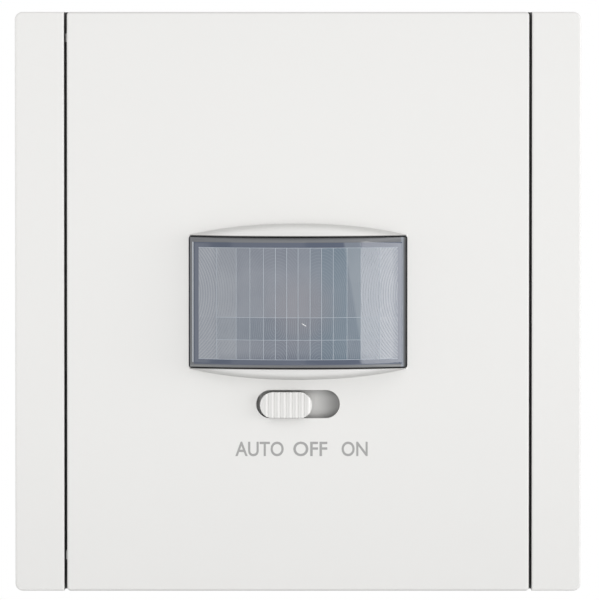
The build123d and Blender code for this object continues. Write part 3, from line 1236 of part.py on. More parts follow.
# Each piece is written to its own file
pieces = {
    "cover_frame": cover_frame,
    "front_panel": front_panel,
    "fresnel_lens": fresnel_lens,
    "lens_bezel": lens_bezel,
    "mode_slider": mode_slider,
    "slider_retainer": slider_retainer,
    "sensor_housing": sensor_housing,
    "head_screws": head_screws,
    "sensor_board": sensor_board,
    "board_screws": board_screws,
    "pir_sensor": pir_sensor,
    "pir_window": pir_window,
    "light_sensor": light_sensor,
    "status_led": status_led,
    "mode_switch": mode_switch,
    "switch_actuator": switch_actuator,
    "controller_chip": controller_chip,
    "board_capacitor": board_capacitor,
    "lux_trimmer": lux_trimmer,
    "time_trimmer": time_trimmer,
    "lux_dial": lux_dial,
    "time_dial": time_dial,
    "plug_header": plug_header,
    "plug_pins": plug_pins,
    "support_plate": support_plate,
    "plate_rivets": plate_rivets,
    "insert_housing": insert_housing,
    "insert_tub": insert_tub,
    "head_springs": head_springs,
    "socket_connector": socket_connector,
    "power_board": power_board,
    "power_board_screws": power_board_screws,
    "relay": relay,
    "line_capacitor": line_capacitor,
    "snubber_capacitor": snubber_capacitor,
    "bulk_capacitor": bulk_capacitor,
    "varistor": varistor,
    "fuse": fuse,
    "choke": choke,
    "terminal_block": terminal_block,
    "terminal_cages": terminal_cages,
    "terminal_screws": terminal_screws,
    "claw_left": claw_left,
    "claw_right": claw_right,
    "claw_left_screw": claw_left_screw,
    "claw_right_screw": claw_right_screw,
}
os.makedirs("parts", exist_ok=True)
for name, piece in pieces.items():
    piece.part.label = name
    export_step(piece.part, f"parts/{name}.step")
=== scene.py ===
import logging
import math
from dataclasses import dataclass, field
from enum import Enum
from functools import partialmethod

import bmesh
import bpy
from mathutils import Matrix, Vector


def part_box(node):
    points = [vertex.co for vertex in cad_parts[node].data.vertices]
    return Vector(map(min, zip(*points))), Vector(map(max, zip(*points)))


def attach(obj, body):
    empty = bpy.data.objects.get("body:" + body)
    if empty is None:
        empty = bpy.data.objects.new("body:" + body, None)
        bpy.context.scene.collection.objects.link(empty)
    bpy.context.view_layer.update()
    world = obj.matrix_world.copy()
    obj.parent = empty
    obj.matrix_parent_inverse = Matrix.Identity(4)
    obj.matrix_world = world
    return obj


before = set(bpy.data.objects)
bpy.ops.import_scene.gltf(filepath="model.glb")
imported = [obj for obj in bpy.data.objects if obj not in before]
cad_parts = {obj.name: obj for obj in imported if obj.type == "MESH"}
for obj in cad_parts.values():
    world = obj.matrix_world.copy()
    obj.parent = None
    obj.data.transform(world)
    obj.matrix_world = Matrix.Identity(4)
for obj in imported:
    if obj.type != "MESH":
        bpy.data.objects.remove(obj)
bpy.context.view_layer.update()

LOG = logging.getLogger("motion_switch")
MM = 0.001
Span = tuple[float, float]
Triple = tuple[float, float, float]
Colour = Triple
Socket = bpy.types.NodeSocket
Paint = Colour | Socket
BLACK = (0.0, 0.0, 0.0)
TO_DEPTH = Matrix.Rotation(-math.pi / 2, 4, "X")


class Brushing(Enum):
    """How a metal surface was worked: the stretch of its grain along X, Y and Z."""

    ROLLED_X = (0.05, 1.0, 1.0)
    ROLLED_Z = (1.0, 1.0, 0.05)
    TURNED_Y = (1.0, 0.08, 1.0)
    TUMBLED = (1.0, 1.0, 1.0)


class Value:
    """A number in a shader graph; Python's operators on it add Math nodes."""

    def __init__(self, graph: "Graph", socket: Socket) -> None:
        """Keeps the graph and the socket that carries the number."""
        self.graph = graph
        self.socket = socket

    def math(self, operation: str, *others: "Value | float", swapped: bool = False) -> "Value":
        """Adds one Math node.

        Args:
            operation: the node's operation.
            others: its further operands.
            swapped: True where this value is the second operand.

        Returns:
            The node's result.
        """
        operands = [self, *others]
        if swapped:
            operands.reverse()
        node = self.graph.node("ShaderNodeMath", {"operation": operation}, dict(enumerate(operands)))
        return Value(self.graph, node.outputs[0])

    __add__ = __radd__ = partialmethod(math, "ADD")
    __sub__ = partialmethod(math, "SUBTRACT")
    __rsub__ = partialmethod(math, "SUBTRACT", swapped=True)
    __mul__ = partialmethod(math, "MULTIPLY")
    __truediv__ = partialmethod(math, "DIVIDE")
    __abs__ = partialmethod(math, "ABSOLUTE")


Sockets = dict[str | int, Value | Paint | float | str]


class NodeTree:
    """A node tree that is put together node by node."""

    tree: bpy.types.NodeTree

    def node(
        self, kind: str, settings: dict | None = None, inputs: Sockets | None = None
    ) -> bpy.types.Node:
        """Adds any node.

        Args:
            kind: the node's type.
            settings: its properties, set first.
            inputs: values or links of its sockets, by name or number.

        Returns:
            The node.
        """
        node = self.tree.nodes.new(kind)
        for name, value in (settings or {}).items():
            setattr(node, name, value)
        for name, value in (inputs or {}).items():
            socket = node.inputs[name]
            if isinstance(value, Value):
                value = value.socket
            if isinstance(value, Socket):
                self.tree.links.new(value, socket)
            elif socket.type == "RGBA" and len(value) == 3:
                socket.default_value = (*value, 1.0)
            else:
                socket.default_value = value
        return node


class Graph(NodeTree):
    """The node tree of one material or world."""

    def __init__(self, name: str, world: bool = False) -> None:
        """Starts an empty tree.

        Args:
            name: the name of the material or world.
            world: True for a world.
        """
        store = bpy.data.worlds if world else bpy.data.materials
        self.owner = store.new(name)
        self.owner.use_nodes = True
        self.tree = self.owner.node_tree
        self.tree.nodes.clear()
        self.output = self.node("ShaderNodeOutputWorld" if world else "ShaderNodeOutputMaterial")

    def place(self) -> Socket:
        """Object coordinates."""
        return self.node("ShaderNodeTexCoord").outputs["Object"]

    def stretched(self, factors: Triple) -> Socket:
        """Object coordinates, stretched along the axes."""
        inputs = {"Vector": self.place(), "Scale": factors}
        return self.node("ShaderNodeMapping", inputs=inputs).outputs[0]

    def read(self, kind: str, settings: dict, inputs: Sockets, output: int | str = 0) -> Value:
        """Adds a node and takes the number that it gives."""
        return Value(self, self.node(kind, settings, inputs).outputs[output])

    def axis(self, number: int) -> Value:
        """One object coordinate: 0 is X, 1 is Y and 2 is Z."""
        return self.read("ShaderNodeSeparateXYZ", {}, {0: self.place()}, number)

    def attribute(self, name: str) -> Value:
        """A number that the mesh's faces carry under this name."""
        return self.read("ShaderNodeAttribute", {"attribute_name": name}, {}, "Fac")

    def length(self, vector: Socket) -> Value:
        """The length of a vector."""
        return self.read("ShaderNodeVectorMath", {"operation": "LENGTH"}, {0: vector}, "Value")

    def noise(self, vector: Socket, size: float, detail: float = 2.0) -> Value:
        """Soft noise from 0 to 1 whose features are about this size, in metres."""
        inputs = {"Vector": vector, "Scale": 1 / size, "Detail": detail}
        return self.read("ShaderNodeTexNoise", {}, inputs)

    def step(self, value: Value, low: float, high: float) -> Value:
        """0 below the low bound, 1 above the high one and smooth between them."""
        inputs = {"Value": value, "From Min": low, "From Max": high}
        return self.read("ShaderNodeMapRange", {"interpolation_type": "SMOOTHSTEP"}, inputs)

    def under(self, value: Value, low: float, high: float) -> Value:
        """1 below the low bound, 0 above the high one and smooth between them."""
        return 1 - self.step(value, low, high)

    def mix(self, share: Value, first: Paint, second: Paint) -> Socket:
        """Mixes two colours by a share of the second."""
        node = self.node("ShaderNodeMix", {"data_type": "RGBA"}, {0: share, 6: first, 7: second})
        return node.outputs[2]

    def bump(self, height: Value, depth: float, strength: float = 1.0) -> Socket:
        """A normal from a height map whose relief is this deep, in metres."""
        inputs = {"Height": height, "Distance": depth, "Strength": strength}
        return self.node("ShaderNodeBump", inputs=inputs).outputs[0]

    def seen(self) -> Value:
        """Tells the rays that should meet white surroundings from the others.

        Returns:
            1 on camera, glossy and transmission rays, otherwise 0.
        """
        path = self.node("ShaderNodeLightPath").outputs
        share = Value(self, path["Is Camera Ray"])
        for name in ("Is Glossy Ray", "Is Transmission Ray"):
            share = share.math("MAXIMUM", Value(self, path[name]))
        return share

    def close(self, shader: bpy.types.Node) -> bpy.types.Material | bpy.types.World:
        """Links the last shader to the output and returns the material or world."""
        self.tree.links.new(shader.outputs[0], self.output.inputs[0])
        return self.owner


def darker(colour: Colour, factor: float) -> Colour:
    """The colour, multiplied by a factor."""
    return tuple(part * factor for part in colour)


@dataclass(frozen=True)
class Finish:
    """A look that the Principled shader can give."""

    name: str

    def sockets(self, graph: Graph) -> Sockets:
        """Values and links of the shader's sockets, by name."""
        raise NotImplementedError

    def make(self) -> bpy.types.Material:
        """Builds the material."""
        graph = Graph(self.name)
        return graph.close(graph.node("ShaderNodeBsdfPrincipled", inputs=self.sockets(graph)))


@dataclass(frozen=True)
class Moulding(Finish):
    """Moulded plastic: eroded grain, faint flow marks and fine rubbed scuffs."""

    colour: Colour
    roughness: float = 0.4
    grain: float = 0.00016
    depth: float = 0.000002
    flow: float = 0.025
    flow_size: float = 0.02
    flow_matt: float = 0.08
    scuff: float = 0.05
    scuff_size: float = 0.0009
    scuff_stretch: Triple = (1.0, 0.4, 0.15)
    scuff_share: Span = (0.6, 0.78)

    def tone(self, graph: Graph, colour: Socket) -> Socket:
        """The colour after any painted light and shade; plain mouldings have none."""
        return colour

    def bend(self, graph: Graph, relief: Socket) -> Socket:
        """The normal after any softened form; plain mouldings keep their own."""
        return relief

    def sockets(self, graph: Graph) -> Sockets:
        """Mixes the moulding's marks.

        Args:
            graph: the material's graph.

        Returns:
            Values and links of the shader's sockets.
        """
        flow = graph.noise(graph.place(), self.flow_size, 3.0)
        grain = graph.noise(graph.place(), self.grain, 1.0)
        scuff = graph.noise(graph.stretched(self.scuff_stretch), self.scuff_size, 4.0)
        scuff = graph.step(scuff, *self.scuff_share)
        colour = graph.mix(flow, self.colour, darker(self.colour, 1 - 2 * self.flow))
        return {
            "Base Color": self.tone(graph, colour),
            "Roughness": self.roughness + (flow - 0.5) * self.flow_matt + scuff * self.scuff,
            "Normal": self.bend(graph, graph.bump(grain, self.depth)),
            "IOR": 1.5,
        }


@dataclass(frozen=True)
class CoverMoulding(Moulding):
    """White cover plastic with painted shade at the hood's root, the window, the slot, the ends and down
    in the two grooves, and a painted highlight towards the window's lip.
    """

    face_y: float = -0.0095
    hood_root: Span = (0.00002, 0.0003)
    hood_crest: Span = (0.0008, 0.0052)
    crease: float = 0.3
    above: Span = (0.0, 0.001)
    above_less: float = 0.1
    groove_x: float = 0.0331
    groove_half: Span = (0.0003, 0.0005)
    groove_deep: Span = (0.0003, 0.0009)
    groove_shade: float = 0.9
    slot_z: float = -0.01459
    slot_high: Span = (0.0022, 0.0024)
    slot_wide: Span = (0.0062, 0.0064)
    slot_deep: Span = (0.0001, 0.0006)
    slot_shade: float = 0.5
    end_z: Span = (0.04085, 0.04112)
    end_x: Span = (0.033, 0.0331)
    end_shade: float = 0.12
    window: Span = (0.0155, 0.009445)
    border_wide: Span = (0.00003, 0.00013)
    border_proud: Span = (0.0001, 0.0002)
    border_shade: Span = (0.4, 0.35)
    lip_proud: Span = (0.0004, 0.0045)
    # painted highlight: the hood's face turns near white towards the window's lip
    painted_lip_highlight: Colour = (0.98, 0.975, 0.96)
    crown_proud: Span = (0.0012, 0.0062)
    rounding: float = 0.9

    def tone(self, graph: Graph, colour: Socket) -> Socket:
        """Paints shade at the hood's root, the window, the grooves, the slot and the ends, and paints a
        highlight towards the window's lip.

        Args:
            graph: the material's graph.
            colour: the moulding's colour.

        Returns:
            The shaded colour.
        """
        proud = self.face_y - graph.axis(1)
        off_x, off_z = abs(graph.axis(0)), abs(graph.axis(2))
        above = graph.step(graph.axis(2), *self.above)
        on_hood = graph.step(proud, *self.hood_root) * graph.under(proud, *self.hood_crest)
        in_groove = graph.under(abs(off_x - self.groove_x), *self.groove_half)
        in_groove *= graph.step(0 - proud, *self.groove_deep)
        in_slot = graph.under(abs(graph.axis(2) - self.slot_z), *self.slot_high)
        in_slot *= graph.under(off_x, *self.slot_wide) * graph.step(0 - proud, *self.slot_deep)
        at_end = graph.step(off_z, *self.end_z) * graph.under(off_x, *self.end_x)
        beside = (off_x - self.window[0]).math("MAXIMUM", off_z - self.window[1])
        at_window = graph.under(beside, *self.border_wide) * graph.step(proud, *self.border_proud)
        shade = at_window * (self.border_shade[0] + above * self.border_shade[1])
        shade += on_hood * (self.crease - above * self.above_less)
        shade += in_groove * self.groove_shade + in_slot * self.slot_shade
        shade += at_end * self.end_shade
        # painted highlight towards the window's lip
        lip_highlighted = graph.mix(graph.step(proud, *self.lip_proud), colour, self.painted_lip_highlight)
        return graph.mix(shade, lip_highlighted, BLACK)

    def bend(self, graph: Graph, relief: Socket) -> Socket:
        """Turns the normal forward near the window's lip, as if the hood were crowned.

        Args:
            graph: the material's graph.
            relief: the normal of the plastic's grain.

        Returns:
            The turned normal.
        """
        crown = graph.step(self.face_y - graph.axis(1), *self.crown_proud) * self.rounding
        forward = graph.node("ShaderNodeCombineXYZ", inputs={1: 0 - crown}).outputs[0]
        vector_math = "ShaderNodeVectorMath"
        turned = graph.node(vector_math, {"operation": "ADD"}, {0: relief, 1: forward}).outputs[0]
        return graph.node(vector_math, {"operation": "NORMALIZE"}, {0: turned}).outputs[0]


@dataclass(frozen=True)
class SliderMoulding(Moulding):
    """White slider plastic: painted shade on the carrier round the knob, and ribs with painted shade on
    their crests and painted light in their valleys.
    """

    knob_x: float = -0.0017
    knob_z: float = -0.01459
    floor_y: float = -0.0088
    floor_skin: float = 0.0001
    side_rise: float = 0.0008
    side_shade: float = 0.5
    along: Span = (0.0038, 0.0074)
    along_shade: float = 0.6
    across: Span = (0.0006, 0.0022)
    across_shade: float = 0.22
    gap: Span = (0.00385, 0.0037)
    gap_shade: float = 0.4
    under: Span = (0.00184, 0.00194)
    under_shade: float = 0.45
    rib_pitch: float = 0.000854
    rib_y: Span = (-0.0101, -0.01)
    rib_x: Span = (0.00338, 0.00345)
    # painted light in the ribs' valleys and painted shade on their crests
    valley_highlight: Colour = (0.87, 0.865, 0.85)
    crest_shade: Colour = (0.7, 0.695, 0.68)

    def tone(self, graph: Graph, colour: Socket) -> Socket:
        """Paints shade on the carrier, the knob's sides and its lower edge, and paints the ribs dark on
        their crests and light in their valleys.

        Args:
            graph: the material's graph.
            colour: the moulding's colour.

        Returns:
            The shaded colour.
        """
        off_x = graph.axis(0) - self.knob_x
        on_floor = graph.step(graph.axis(1), self.floor_y, self.floor_y + self.floor_skin)
        off_floor = 1 - on_floor
        along = graph.step(abs(off_x), *self.along) * self.along_shade
        across = graph.step(abs(graph.axis(2) - self.knob_z), *self.across) * self.across_shade
        beside = graph.under(graph.axis(0), self.knob_x - self.gap[0], self.knob_x - self.gap[1])
        on_side = graph.step(graph.axis(1), self.floor_y - self.side_rise, self.floor_y)
        shade = on_side * self.side_shade * off_floor
        shade += on_floor * (along + across + beside * self.gap_shade)
        under = graph.step(self.knob_z - graph.axis(2), *self.under) * off_floor
        shade += under * self.under_shade
        # painted light and shade across the ribs: dark crests, light valleys
        crest = (1 - (off_x * (2 * math.pi / self.rib_pitch)).math("COSINE")) / 2
        ribbed = graph.under(graph.axis(1), *self.rib_y) * graph.under(abs(off_x), *self.rib_x)
        ribs_lit_and_shaded = graph.mix(ribbed, colour, graph.mix(crest, self.valley_highlight, self.crest_shade))
        return graph.mix(shade, ribs_lit_and_shaded, BLACK)


@dataclass(frozen=True)
class Plated(Finish):
    """Plated or bare metal: worked grain, cloudy passivation and tiny dents."""

    colour: Colour
    brushing: Brushing = Brushing.TUMBLED
    roughness: float = 0.3
    cloud: float = 0.22
    depth: float = 0.000004
    cloud_size: float = 0.004
    cloud_share: Span = (0.35, 0.7)
    cloud_matt: float = 0.16
    line_size: float = 0.00012
    line_matt: float = 0.1
    dent_size: float = 0.0007
    dent_share: Span = (0.62, 0.8)
    dent_depth: float = 0.8

    def sockets(self, graph: Graph) -> Sockets:
        """Mixes the metal's marks.

        Args:
            graph: the material's graph.

        Returns:
            Values and links of the shader's sockets.
        """
        lines = graph.noise(graph.stretched(self.brushing.value), self.line_size, 3.0)
        cloud = graph.noise(graph.place(), self.cloud_size, 4.0)
        dents = graph.step(graph.noise(graph.place(), self.dent_size, 2.0), *self.dent_share)
        dull = darker(self.colour, 1 - self.cloud)
        return {
            "Base Color": graph.mix(graph.step(cloud, *self.cloud_share), self.colour, dull),
            "Metallic": 1.0,
            "Roughness": self.roughness + cloud * self.cloud_matt + lines * self.line_matt,
            "Normal": graph.bump(lines - dents * self.dent_depth, self.depth),
        }


@dataclass(frozen=True)
class SolderResist(Finish):
    """Circuit board: lacquer over copper tracks, with tinned pads."""

    colour: Colour
    track: float = 0.0016
    track_gap: float = 0.07
    track_length: float = 1.9
    track_width: float = 0.62
    pads_per_metre: float = 620.0
    pad: Span = (0.13, 0.17)
    tin: Colour = (0.62, 0.61, 0.57)
    weave: float = 0.0004
    depth: float = 0.00003

    def sockets(self, graph: Graph) -> Sockets:
        """Lays out tracks, pads and the board's weave.

        Args:
            graph: the material's graph.

        Returns:
            Values and links of the shader's sockets.
        """
        turn = {"Vector": graph.place(), "Rotation": (math.pi / 2, 0, 0)}
        flat = graph.node("ShaderNodeMapping", inputs=turn).outputs[0]
        bricks = {
            "Vector": flat,
            "Scale": 1 / self.track,
            "Mortar Size": self.track_gap,
            "Mortar Smooth": 0.1,
            "Brick Width": self.track_length,
            "Row Height": self.track_width,
        }
        rows = {"offset": 0.37, "squash": 0.6, "squash_frequency": 3}
        tracks = graph.read("ShaderNodeTexBrick", rows, bricks, "Fac")
        cells = {"Vector": flat, "Scale": self.pads_per_metre, "Randomness": 0.7}
        pads = graph.under(graph.read("ShaderNodeTexVoronoi", {}, cells), *self.pad)
        weave = graph.noise(graph.stretched((1.0, 1.0, 0.3)), self.weave, 2.0)
        lacquer = graph.mix(tracks, darker(self.colour, 0.7), darker(self.colour, 1.5))
        return {
            "Base Color": graph.mix(pads, lacquer, self.tin),
            "Metallic": pads * 0.9,
            "Roughness": 0.34 + weave * 0.12,
            "Normal": graph.bump(tracks + pads * 0.6 + weave * 0.2, self.depth),
        }


@dataclass(frozen=True)
class CastResin(Finish):
    """Clear or tinted cast resin: lamp bodies and the infrared filter."""

    colour: Colour
    see_through: float
    roughness: float = 0.08
    cloud: float = 0.0012

    def sockets(self, graph: Graph) -> Sockets:
        """Clouds the resin.

        Args:
            graph: the material's graph.

        Returns:
            Values and links of the shader's sockets.
        """
        cloud = graph.noise(graph.place(), self.cloud, 3.0)
        return {
            "Base Color": graph.mix(cloud, self.colour, darker(self.colour, 0.8)),
            "Roughness": self.roughness + cloud * 0.08,
            "Transmission Weight": self.see_through,
            "IOR": 1.52,
            "Normal": graph.bump(cloud, 0.00002),
        }


@dataclass(frozen=True)
class LensSheet(Finish):
    """Milky infrared lens: a tone for each cell, pressed rings behind a glossy skin."""

    pitch: float
    dark: Colour = (0.08, 0.1, 0.145)
    light: Colour = (0.385, 0.405, 0.44)
    teal: Colour = (0.12, 0.19, 0.24)
    warm: Colour = (0.26, 0.24, 0.26)
    warm_at: Span = (0.0005, -0.001)
    warm_reach: Span = (0.0015, 0.0065)
    warm_share: float = 0.4
    teal_share: float = 0.55
    haze: float = 0.003
    haze_share: float = 0.2
    haze_matt: float = 0.06
    ring_paint: float = 0.03
    outer_x: Span = (0.0108, 0.0116)
    outer_paint: float = 0.32
    top_z: Span = (0.003, 0.0076)
    right_x: Span = (0.0131, 0.0141)
    low_z: Span = (0.0068, 0.0082)
    border_shades: Triple = (0.12, 0.33, 0.17)
    glint: Span = (0.00085, -0.0031)
    glint_lean: float = 0.62
    glint_wide: Span = (0.00022, 0.00055)
    glint_long: Span = (0.00003, 0.0001)
    glint_white: Colour = (0.9, 0.9, 0.9)
    sheen: Colour = (0.4, 0.44, 0.47)
    slant: float = 0.169
    slant_x: float = 0.0064
    slant_z: float = 0.0076
    sheen_x: Span = (0.0089, 0.00895)
    sheen_edge: Span = (0.0, 0.0005)
    sheen_share: float = 0.28
    rim: Colour = (0.075, 0.092, 0.135)
    edge: Colour = (0.15, 0.155, 0.165)
    far_edge: Colour = (0.25, 0.275, 0.31)
    far_from: Span = (0.0146, 0.01475)
    far_fade: Span = (0.0148, 0.01527)
    low_edge: Colour = (0.23, 0.235, 0.24)
    low_from: Span = (0.0088, 0.0091)
    inside_x: Span = (0.01481, 0.01484)
    inside_low: Span = (-0.00882, -0.00878)
    inside_top: Span = (0.00852, 0.00856)
    relief: float = 0.00005
    in_field: Span = (0.6, 0.9)
    in_rim: Span = (0.2, 0.4)
    matt: float = 0.45
    rim_gloss: float = 0.38

    def cells(self, graph: Graph, haze: Value, saw: Value) -> Socket:
        """Paints the cells.

        Args:
            graph: the material's graph.
            haze: soft noise.
            saw: height across a pressed ring.

        Returns:
            Their own tones, with rings, shaded borders, the warm middle and the glint.
        """
        x, z = graph.axis(0), graph.axis(2)
        outer = graph.step(abs(x), *self.outer_x)
        inner = 1 - outer
        top, right, low = self.border_shades
        shade = graph.attribute("tone") + (haze - 0.5) * self.haze_share
        shade += (saw - 0.5) * (self.ring_paint + outer * self.outer_paint)
        shade -= graph.step(z, *self.top_z) * inner * top
        shade -= graph.step(x, *self.right_x) * right
        shade -= graph.step(0 - z, *self.low_z) * inner * low
        colour = graph.mix(shade, self.dark, self.light)
        colour = graph.mix(graph.attribute("tint") * self.teal_share, colour, self.teal)
        away = (x - self.warm_at[0]).math("POWER", 2.0) + (z - self.warm_at[1]).math("POWER", 2.0)
        warm = graph.under(away.math("SQRT"), *self.warm_reach) * self.warm_share
        colour = graph.mix(warm, colour, self.warm)
        over, up = x - self.glint[0], z - self.glint[1]
        wide = graph.under(abs(over - up * self.glint_lean), *self.glint_wide)
        long = graph.under(abs(over * self.glint_lean + up), *self.glint_long)
        return graph.mix(wide * long, colour, self.glint_white)

    def sheet(self, graph: Graph, cells: Socket) -> Socket:
        """Sets the cells in the sheet's dark rim, under a slanted reflection.

        Args:
            graph: the material's graph.
            cells: the cells' colour.

        Returns:
            The colour of the sheet's face.
        """
        face = graph.mix(graph.step(graph.attribute("zone"), *self.in_field), self.rim, cells)
        slant = self.slant_x + (self.slant_z - graph.axis(2)) * self.slant
        sheen = graph.step(graph.axis(0) - slant, *self.sheen_edge)
        sheen *= graph.under(graph.axis(0), *self.sheen_x)
        return graph.mix(sheen * self.sheen_share, face, self.sheen)

    def border(self, graph: Graph) -> Socket:
        """Paints the sheet's turned-back edge, paler at the right and at the bottom.

        Args:
            graph: the material's graph.

        Returns:
            The edge's colour.
        """
        x, z = graph.axis(0), graph.axis(2)
        far = graph.mix(graph.step(x, *self.far_fade), self.far_edge, darker(self.edge, 0.03))
        low = graph.mix(graph.step(0 - z, *self.low_from), self.edge, self.low_edge)
        return graph.mix(graph.step(x, *self.far_from), low, far)

    def sockets(self, graph: Graph) -> Sockets:
        """Reads the skin's own attributes and ring map and joins face and edge.

        Args:
            graph: the material's graph.

        Returns:
            Values and links of the shader's sockets.
        """
        zone = graph.attribute("zone")
        rim = graph.step(zone, *self.in_rim)
        rings_at = graph.node("ShaderNodeUVMap", {"uv_map": "rings"}).outputs[0]
        saw = (graph.length(rings_at) / self.pitch).math("FRACT")
        haze = graph.noise(graph.place(), self.haze, 3.0)
        x, z = graph.axis(0), graph.axis(2)
        inside = graph.under(abs(x), *self.inside_x) * graph.step(z, *self.inside_low)
        inside *= graph.under(z, *self.inside_top)
        face = self.sheet(graph, self.cells(graph, haze, saw))
        return {
            "Base Color": graph.mix(inside, self.border(graph), face),
            "Roughness": self.matt - rim * self.rim_gloss + haze * self.haze_matt,
            "Normal": graph.bump(saw * graph.step(zone, *self.in_field), self.relief, 0.4),
        }


@dataclass(frozen=True)
class PadInk(Finish):
    """Pad-printed ink with slightly broken cover."""

    colour: Colour
    grain: float = 0.00012

    def sockets(self, graph: Graph) -> Sockets:
        """Breaks the ink's cover.

        Args:
            graph: the material's graph.

        Returns:
            Values and links of the shader's sockets.
        """
        cover = graph.noise(graph.place(), self.grain, 2.0)
        return {
            "Base Color": graph.mix(cover, self.colour, darker(self.colour, 1.35)),
            "Roughness": 0.5 + cover * 0.1,
        }


@dataclass(frozen=True)
class Sleeve(Finish):
    """Shrunk sleeve of a capacitor, with a pale stripe down one side."""

    colour: Colour
    stripe: Colour
    stripe_x: Span = (0.0107, 0.0109)
    wrinkle: float = 0.0008

    def sockets(self, graph: Graph) -> Sockets:
        """Prints the stripe and wrinkles the sleeve.

        Args:
            graph: the material's graph.

        Returns:
            Values and links of the shader's sockets.
        """
        wrinkles = graph.noise(graph.stretched((1.0, 0.2, 1.0)), self.wrinkle, 3.0)
        stripe = graph.step(graph.axis(0), *self.stripe_x)
        return {
            "Base Color": graph.mix(stripe, self.colour, self.stripe),
            "Roughness": 0.28 + wrinkles * 0.12,
            "Normal": graph.bump(wrinkles, 0.00003),
        }


WHITE = (0.79, 0.785, 0.77)
SLIDER_WHITE = (0.82, 0.815, 0.8)
POLISHED = {"grain": 0.0002, "depth": 0.0000012, "flow": 0.006}
FINISHES = {
    "white_cover": CoverMoulding("white_cover", WHITE, 0.36, **POLISHED),
    # the panel's copy of the cover plastic carries less painted shade in the grooves
    "white_panel": CoverMoulding("white_panel", WHITE, 0.36, groove_shade=0.2, **POLISHED),
    "white_slider": SliderMoulding("white_slider", SLIDER_WHITE, 0.4, **POLISHED),
    "board_green": SolderResist("board_green", (0.02, 0.16, 0.07)),
    "capacitor_sleeve": Sleeve("capacitor_sleeve", (0.02, 0.025, 0.05), (0.6, 0.62, 0.65)),
}
PLAIN_FINISHES = {
    Moulding: (
        ("lens_sheet", (0.13, 0.15, 0.18), 0.22, 0.0004, 0.000002, 0.05),
        ("black_plastic", (0.025, 0.025, 0.027), 0.5, 0.00025, 0.000008),
        ("head_plastic", (0.62, 0.62, 0.6), 0.45, 0.0003, 0.000005),
        ("insert_plastic", (0.5, 0.51, 0.51), 0.5, 0.0003, 0.000008, 0.05),
        ("chip_black", (0.02, 0.02, 0.02), 0.55, 0.0001, 0.00001),
        ("dial_plastic", (0.75, 0.26, 0.05), 0.38, 0.0002, 0.000004),
        ("trimmer_blue", (0.03, 0.12, 0.42), 0.42, 0.0002, 0.000004),
        ("relay_case", (0.03, 0.06, 0.16), 0.35, 0.0003, 0.000005),
        ("film_yellow", (0.7, 0.5, 0.08), 0.4, 0.0003, 0.000006),
        ("varistor_blue", (0.02, 0.1, 0.34), 0.3, 0.0008, 0.00003),
        ("fuse_brown", (0.13, 0.06, 0.035), 0.4, 0.0003, 0.000005),
        ("ferrite", (0.06, 0.06, 0.065), 0.6, 0.0002, 0.00002),
        ("terminal_grey", (0.2, 0.21, 0.22), 0.45, 0.0003, 0.000006),
    ),
    Plated: (
        ("zinc_steel", (0.62, 0.63, 0.65), Brushing.ROLLED_X, 0.28, 0.13),
        ("screw_steel", (0.7, 0.69, 0.66), Brushing.TURNED_Y, 0.24),
        ("spring_steel", (0.5, 0.5, 0.5), Brushing.ROLLED_Z, 0.2),
        ("can_metal", (0.72, 0.69, 0.62), Brushing.TUMBLED, 0.18, 0.1),
        ("gold_pin", (0.83, 0.62, 0.28), Brushing.TURNED_Y, 0.2, 0.08),
    ),
    CastResin: (
        ("filter_glass", (0.05, 0.04, 0.06), 0.1),
        ("clear_epoxy", (0.8, 0.85, 0.9), 0.7),
        ("red_epoxy", (0.7, 0.05, 0.04), 0.4),
    ),
}
FINISHES |= {row[0]: kind(*row) for kind, rows in PLAIN_FINISHES.items() for row in rows}
RIDGE = Moulding("lens_ridge", (0.26, 0.285, 0.32), 0.16, 0.0003, 0.0000005)
# pale bead colour: a painted highlight along the lens's left edge
LIP_HIGHLIGHT = Moulding("lens_lip", (0.55, 0.59, 0.63), 0.2, 0.0003)
SEAM = Moulding("lens_seam", (0.47, 0.52, 0.58), 0.25, 0.0003)
COPPER = Plated("enamelled_copper", (0.72, 0.3, 0.12), Brushing.TUMBLED, 0.22, 0.1)
INK = PadInk("grey_ink", (0.31, 0.31, 0.305))
DARK_INK = PadInk("dark_ink", (0.08, 0.08, 0.085))


@dataclass
class Palette:
    """The materials made so far, one for each finish."""

    made: dict[str, bpy.types.Material] = field(default_factory=dict)

    def get(self, finish: Finish) -> bpy.types.Material:
        """The finish's material, built at its first use."""
        if finish.name not in self.made:
            self.made[finish.name] = finish.make()
        return self.made[finish.name]

    def dress(self, slot: str, nodes: str) -> None:
        """Gives CAD nodes the finish of their slot.

        Args:
            slot: the record's material slot.
            nodes: the nodes' names, with spaces between them.
        """
        for node in nodes.split():
            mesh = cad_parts[node].data
            mesh.materials.clear()
            mesh.materials.append(self.get(FINISHES[slot]))
            LOG.info("dressed %s in %s", node, slot)


def put(name: str, data: bpy.types.ID) -> bpy.types.Object:
    """Makes an object of this name and data in the scene, at the origin."""
    made = bpy.data.objects.new(name, data)
    bpy.context.scene.collection.objects.link(made)
    return made


def bake(carrier: bpy.types.Object, name: str) -> bpy.types.Mesh:
    """Keeps what a carrier is shaped into as a plain mesh and removes the carrier.

    Args:
        carrier: an object whose modifier or curve makes the shape.
        name: the mesh's name.

    Returns:
        The mesh.
    """
    shaped = carrier.evaluated_get(bpy.context.evaluated_depsgraph_get())
    mesh = bpy.data.meshes.new_from_object(shaped)
    mesh.name = name
    bpy.data.objects.remove(carrier)
    return mesh


def standing(low: Vector, high: Vector, start: float) -> Matrix:
    """Turns Z to the depth, through the middle of a box and from this depth on."""
    return Matrix.Translation(((low.x + high.x) / 2, start, (low.z + high.z) / 2)) @ TO_DEPTH


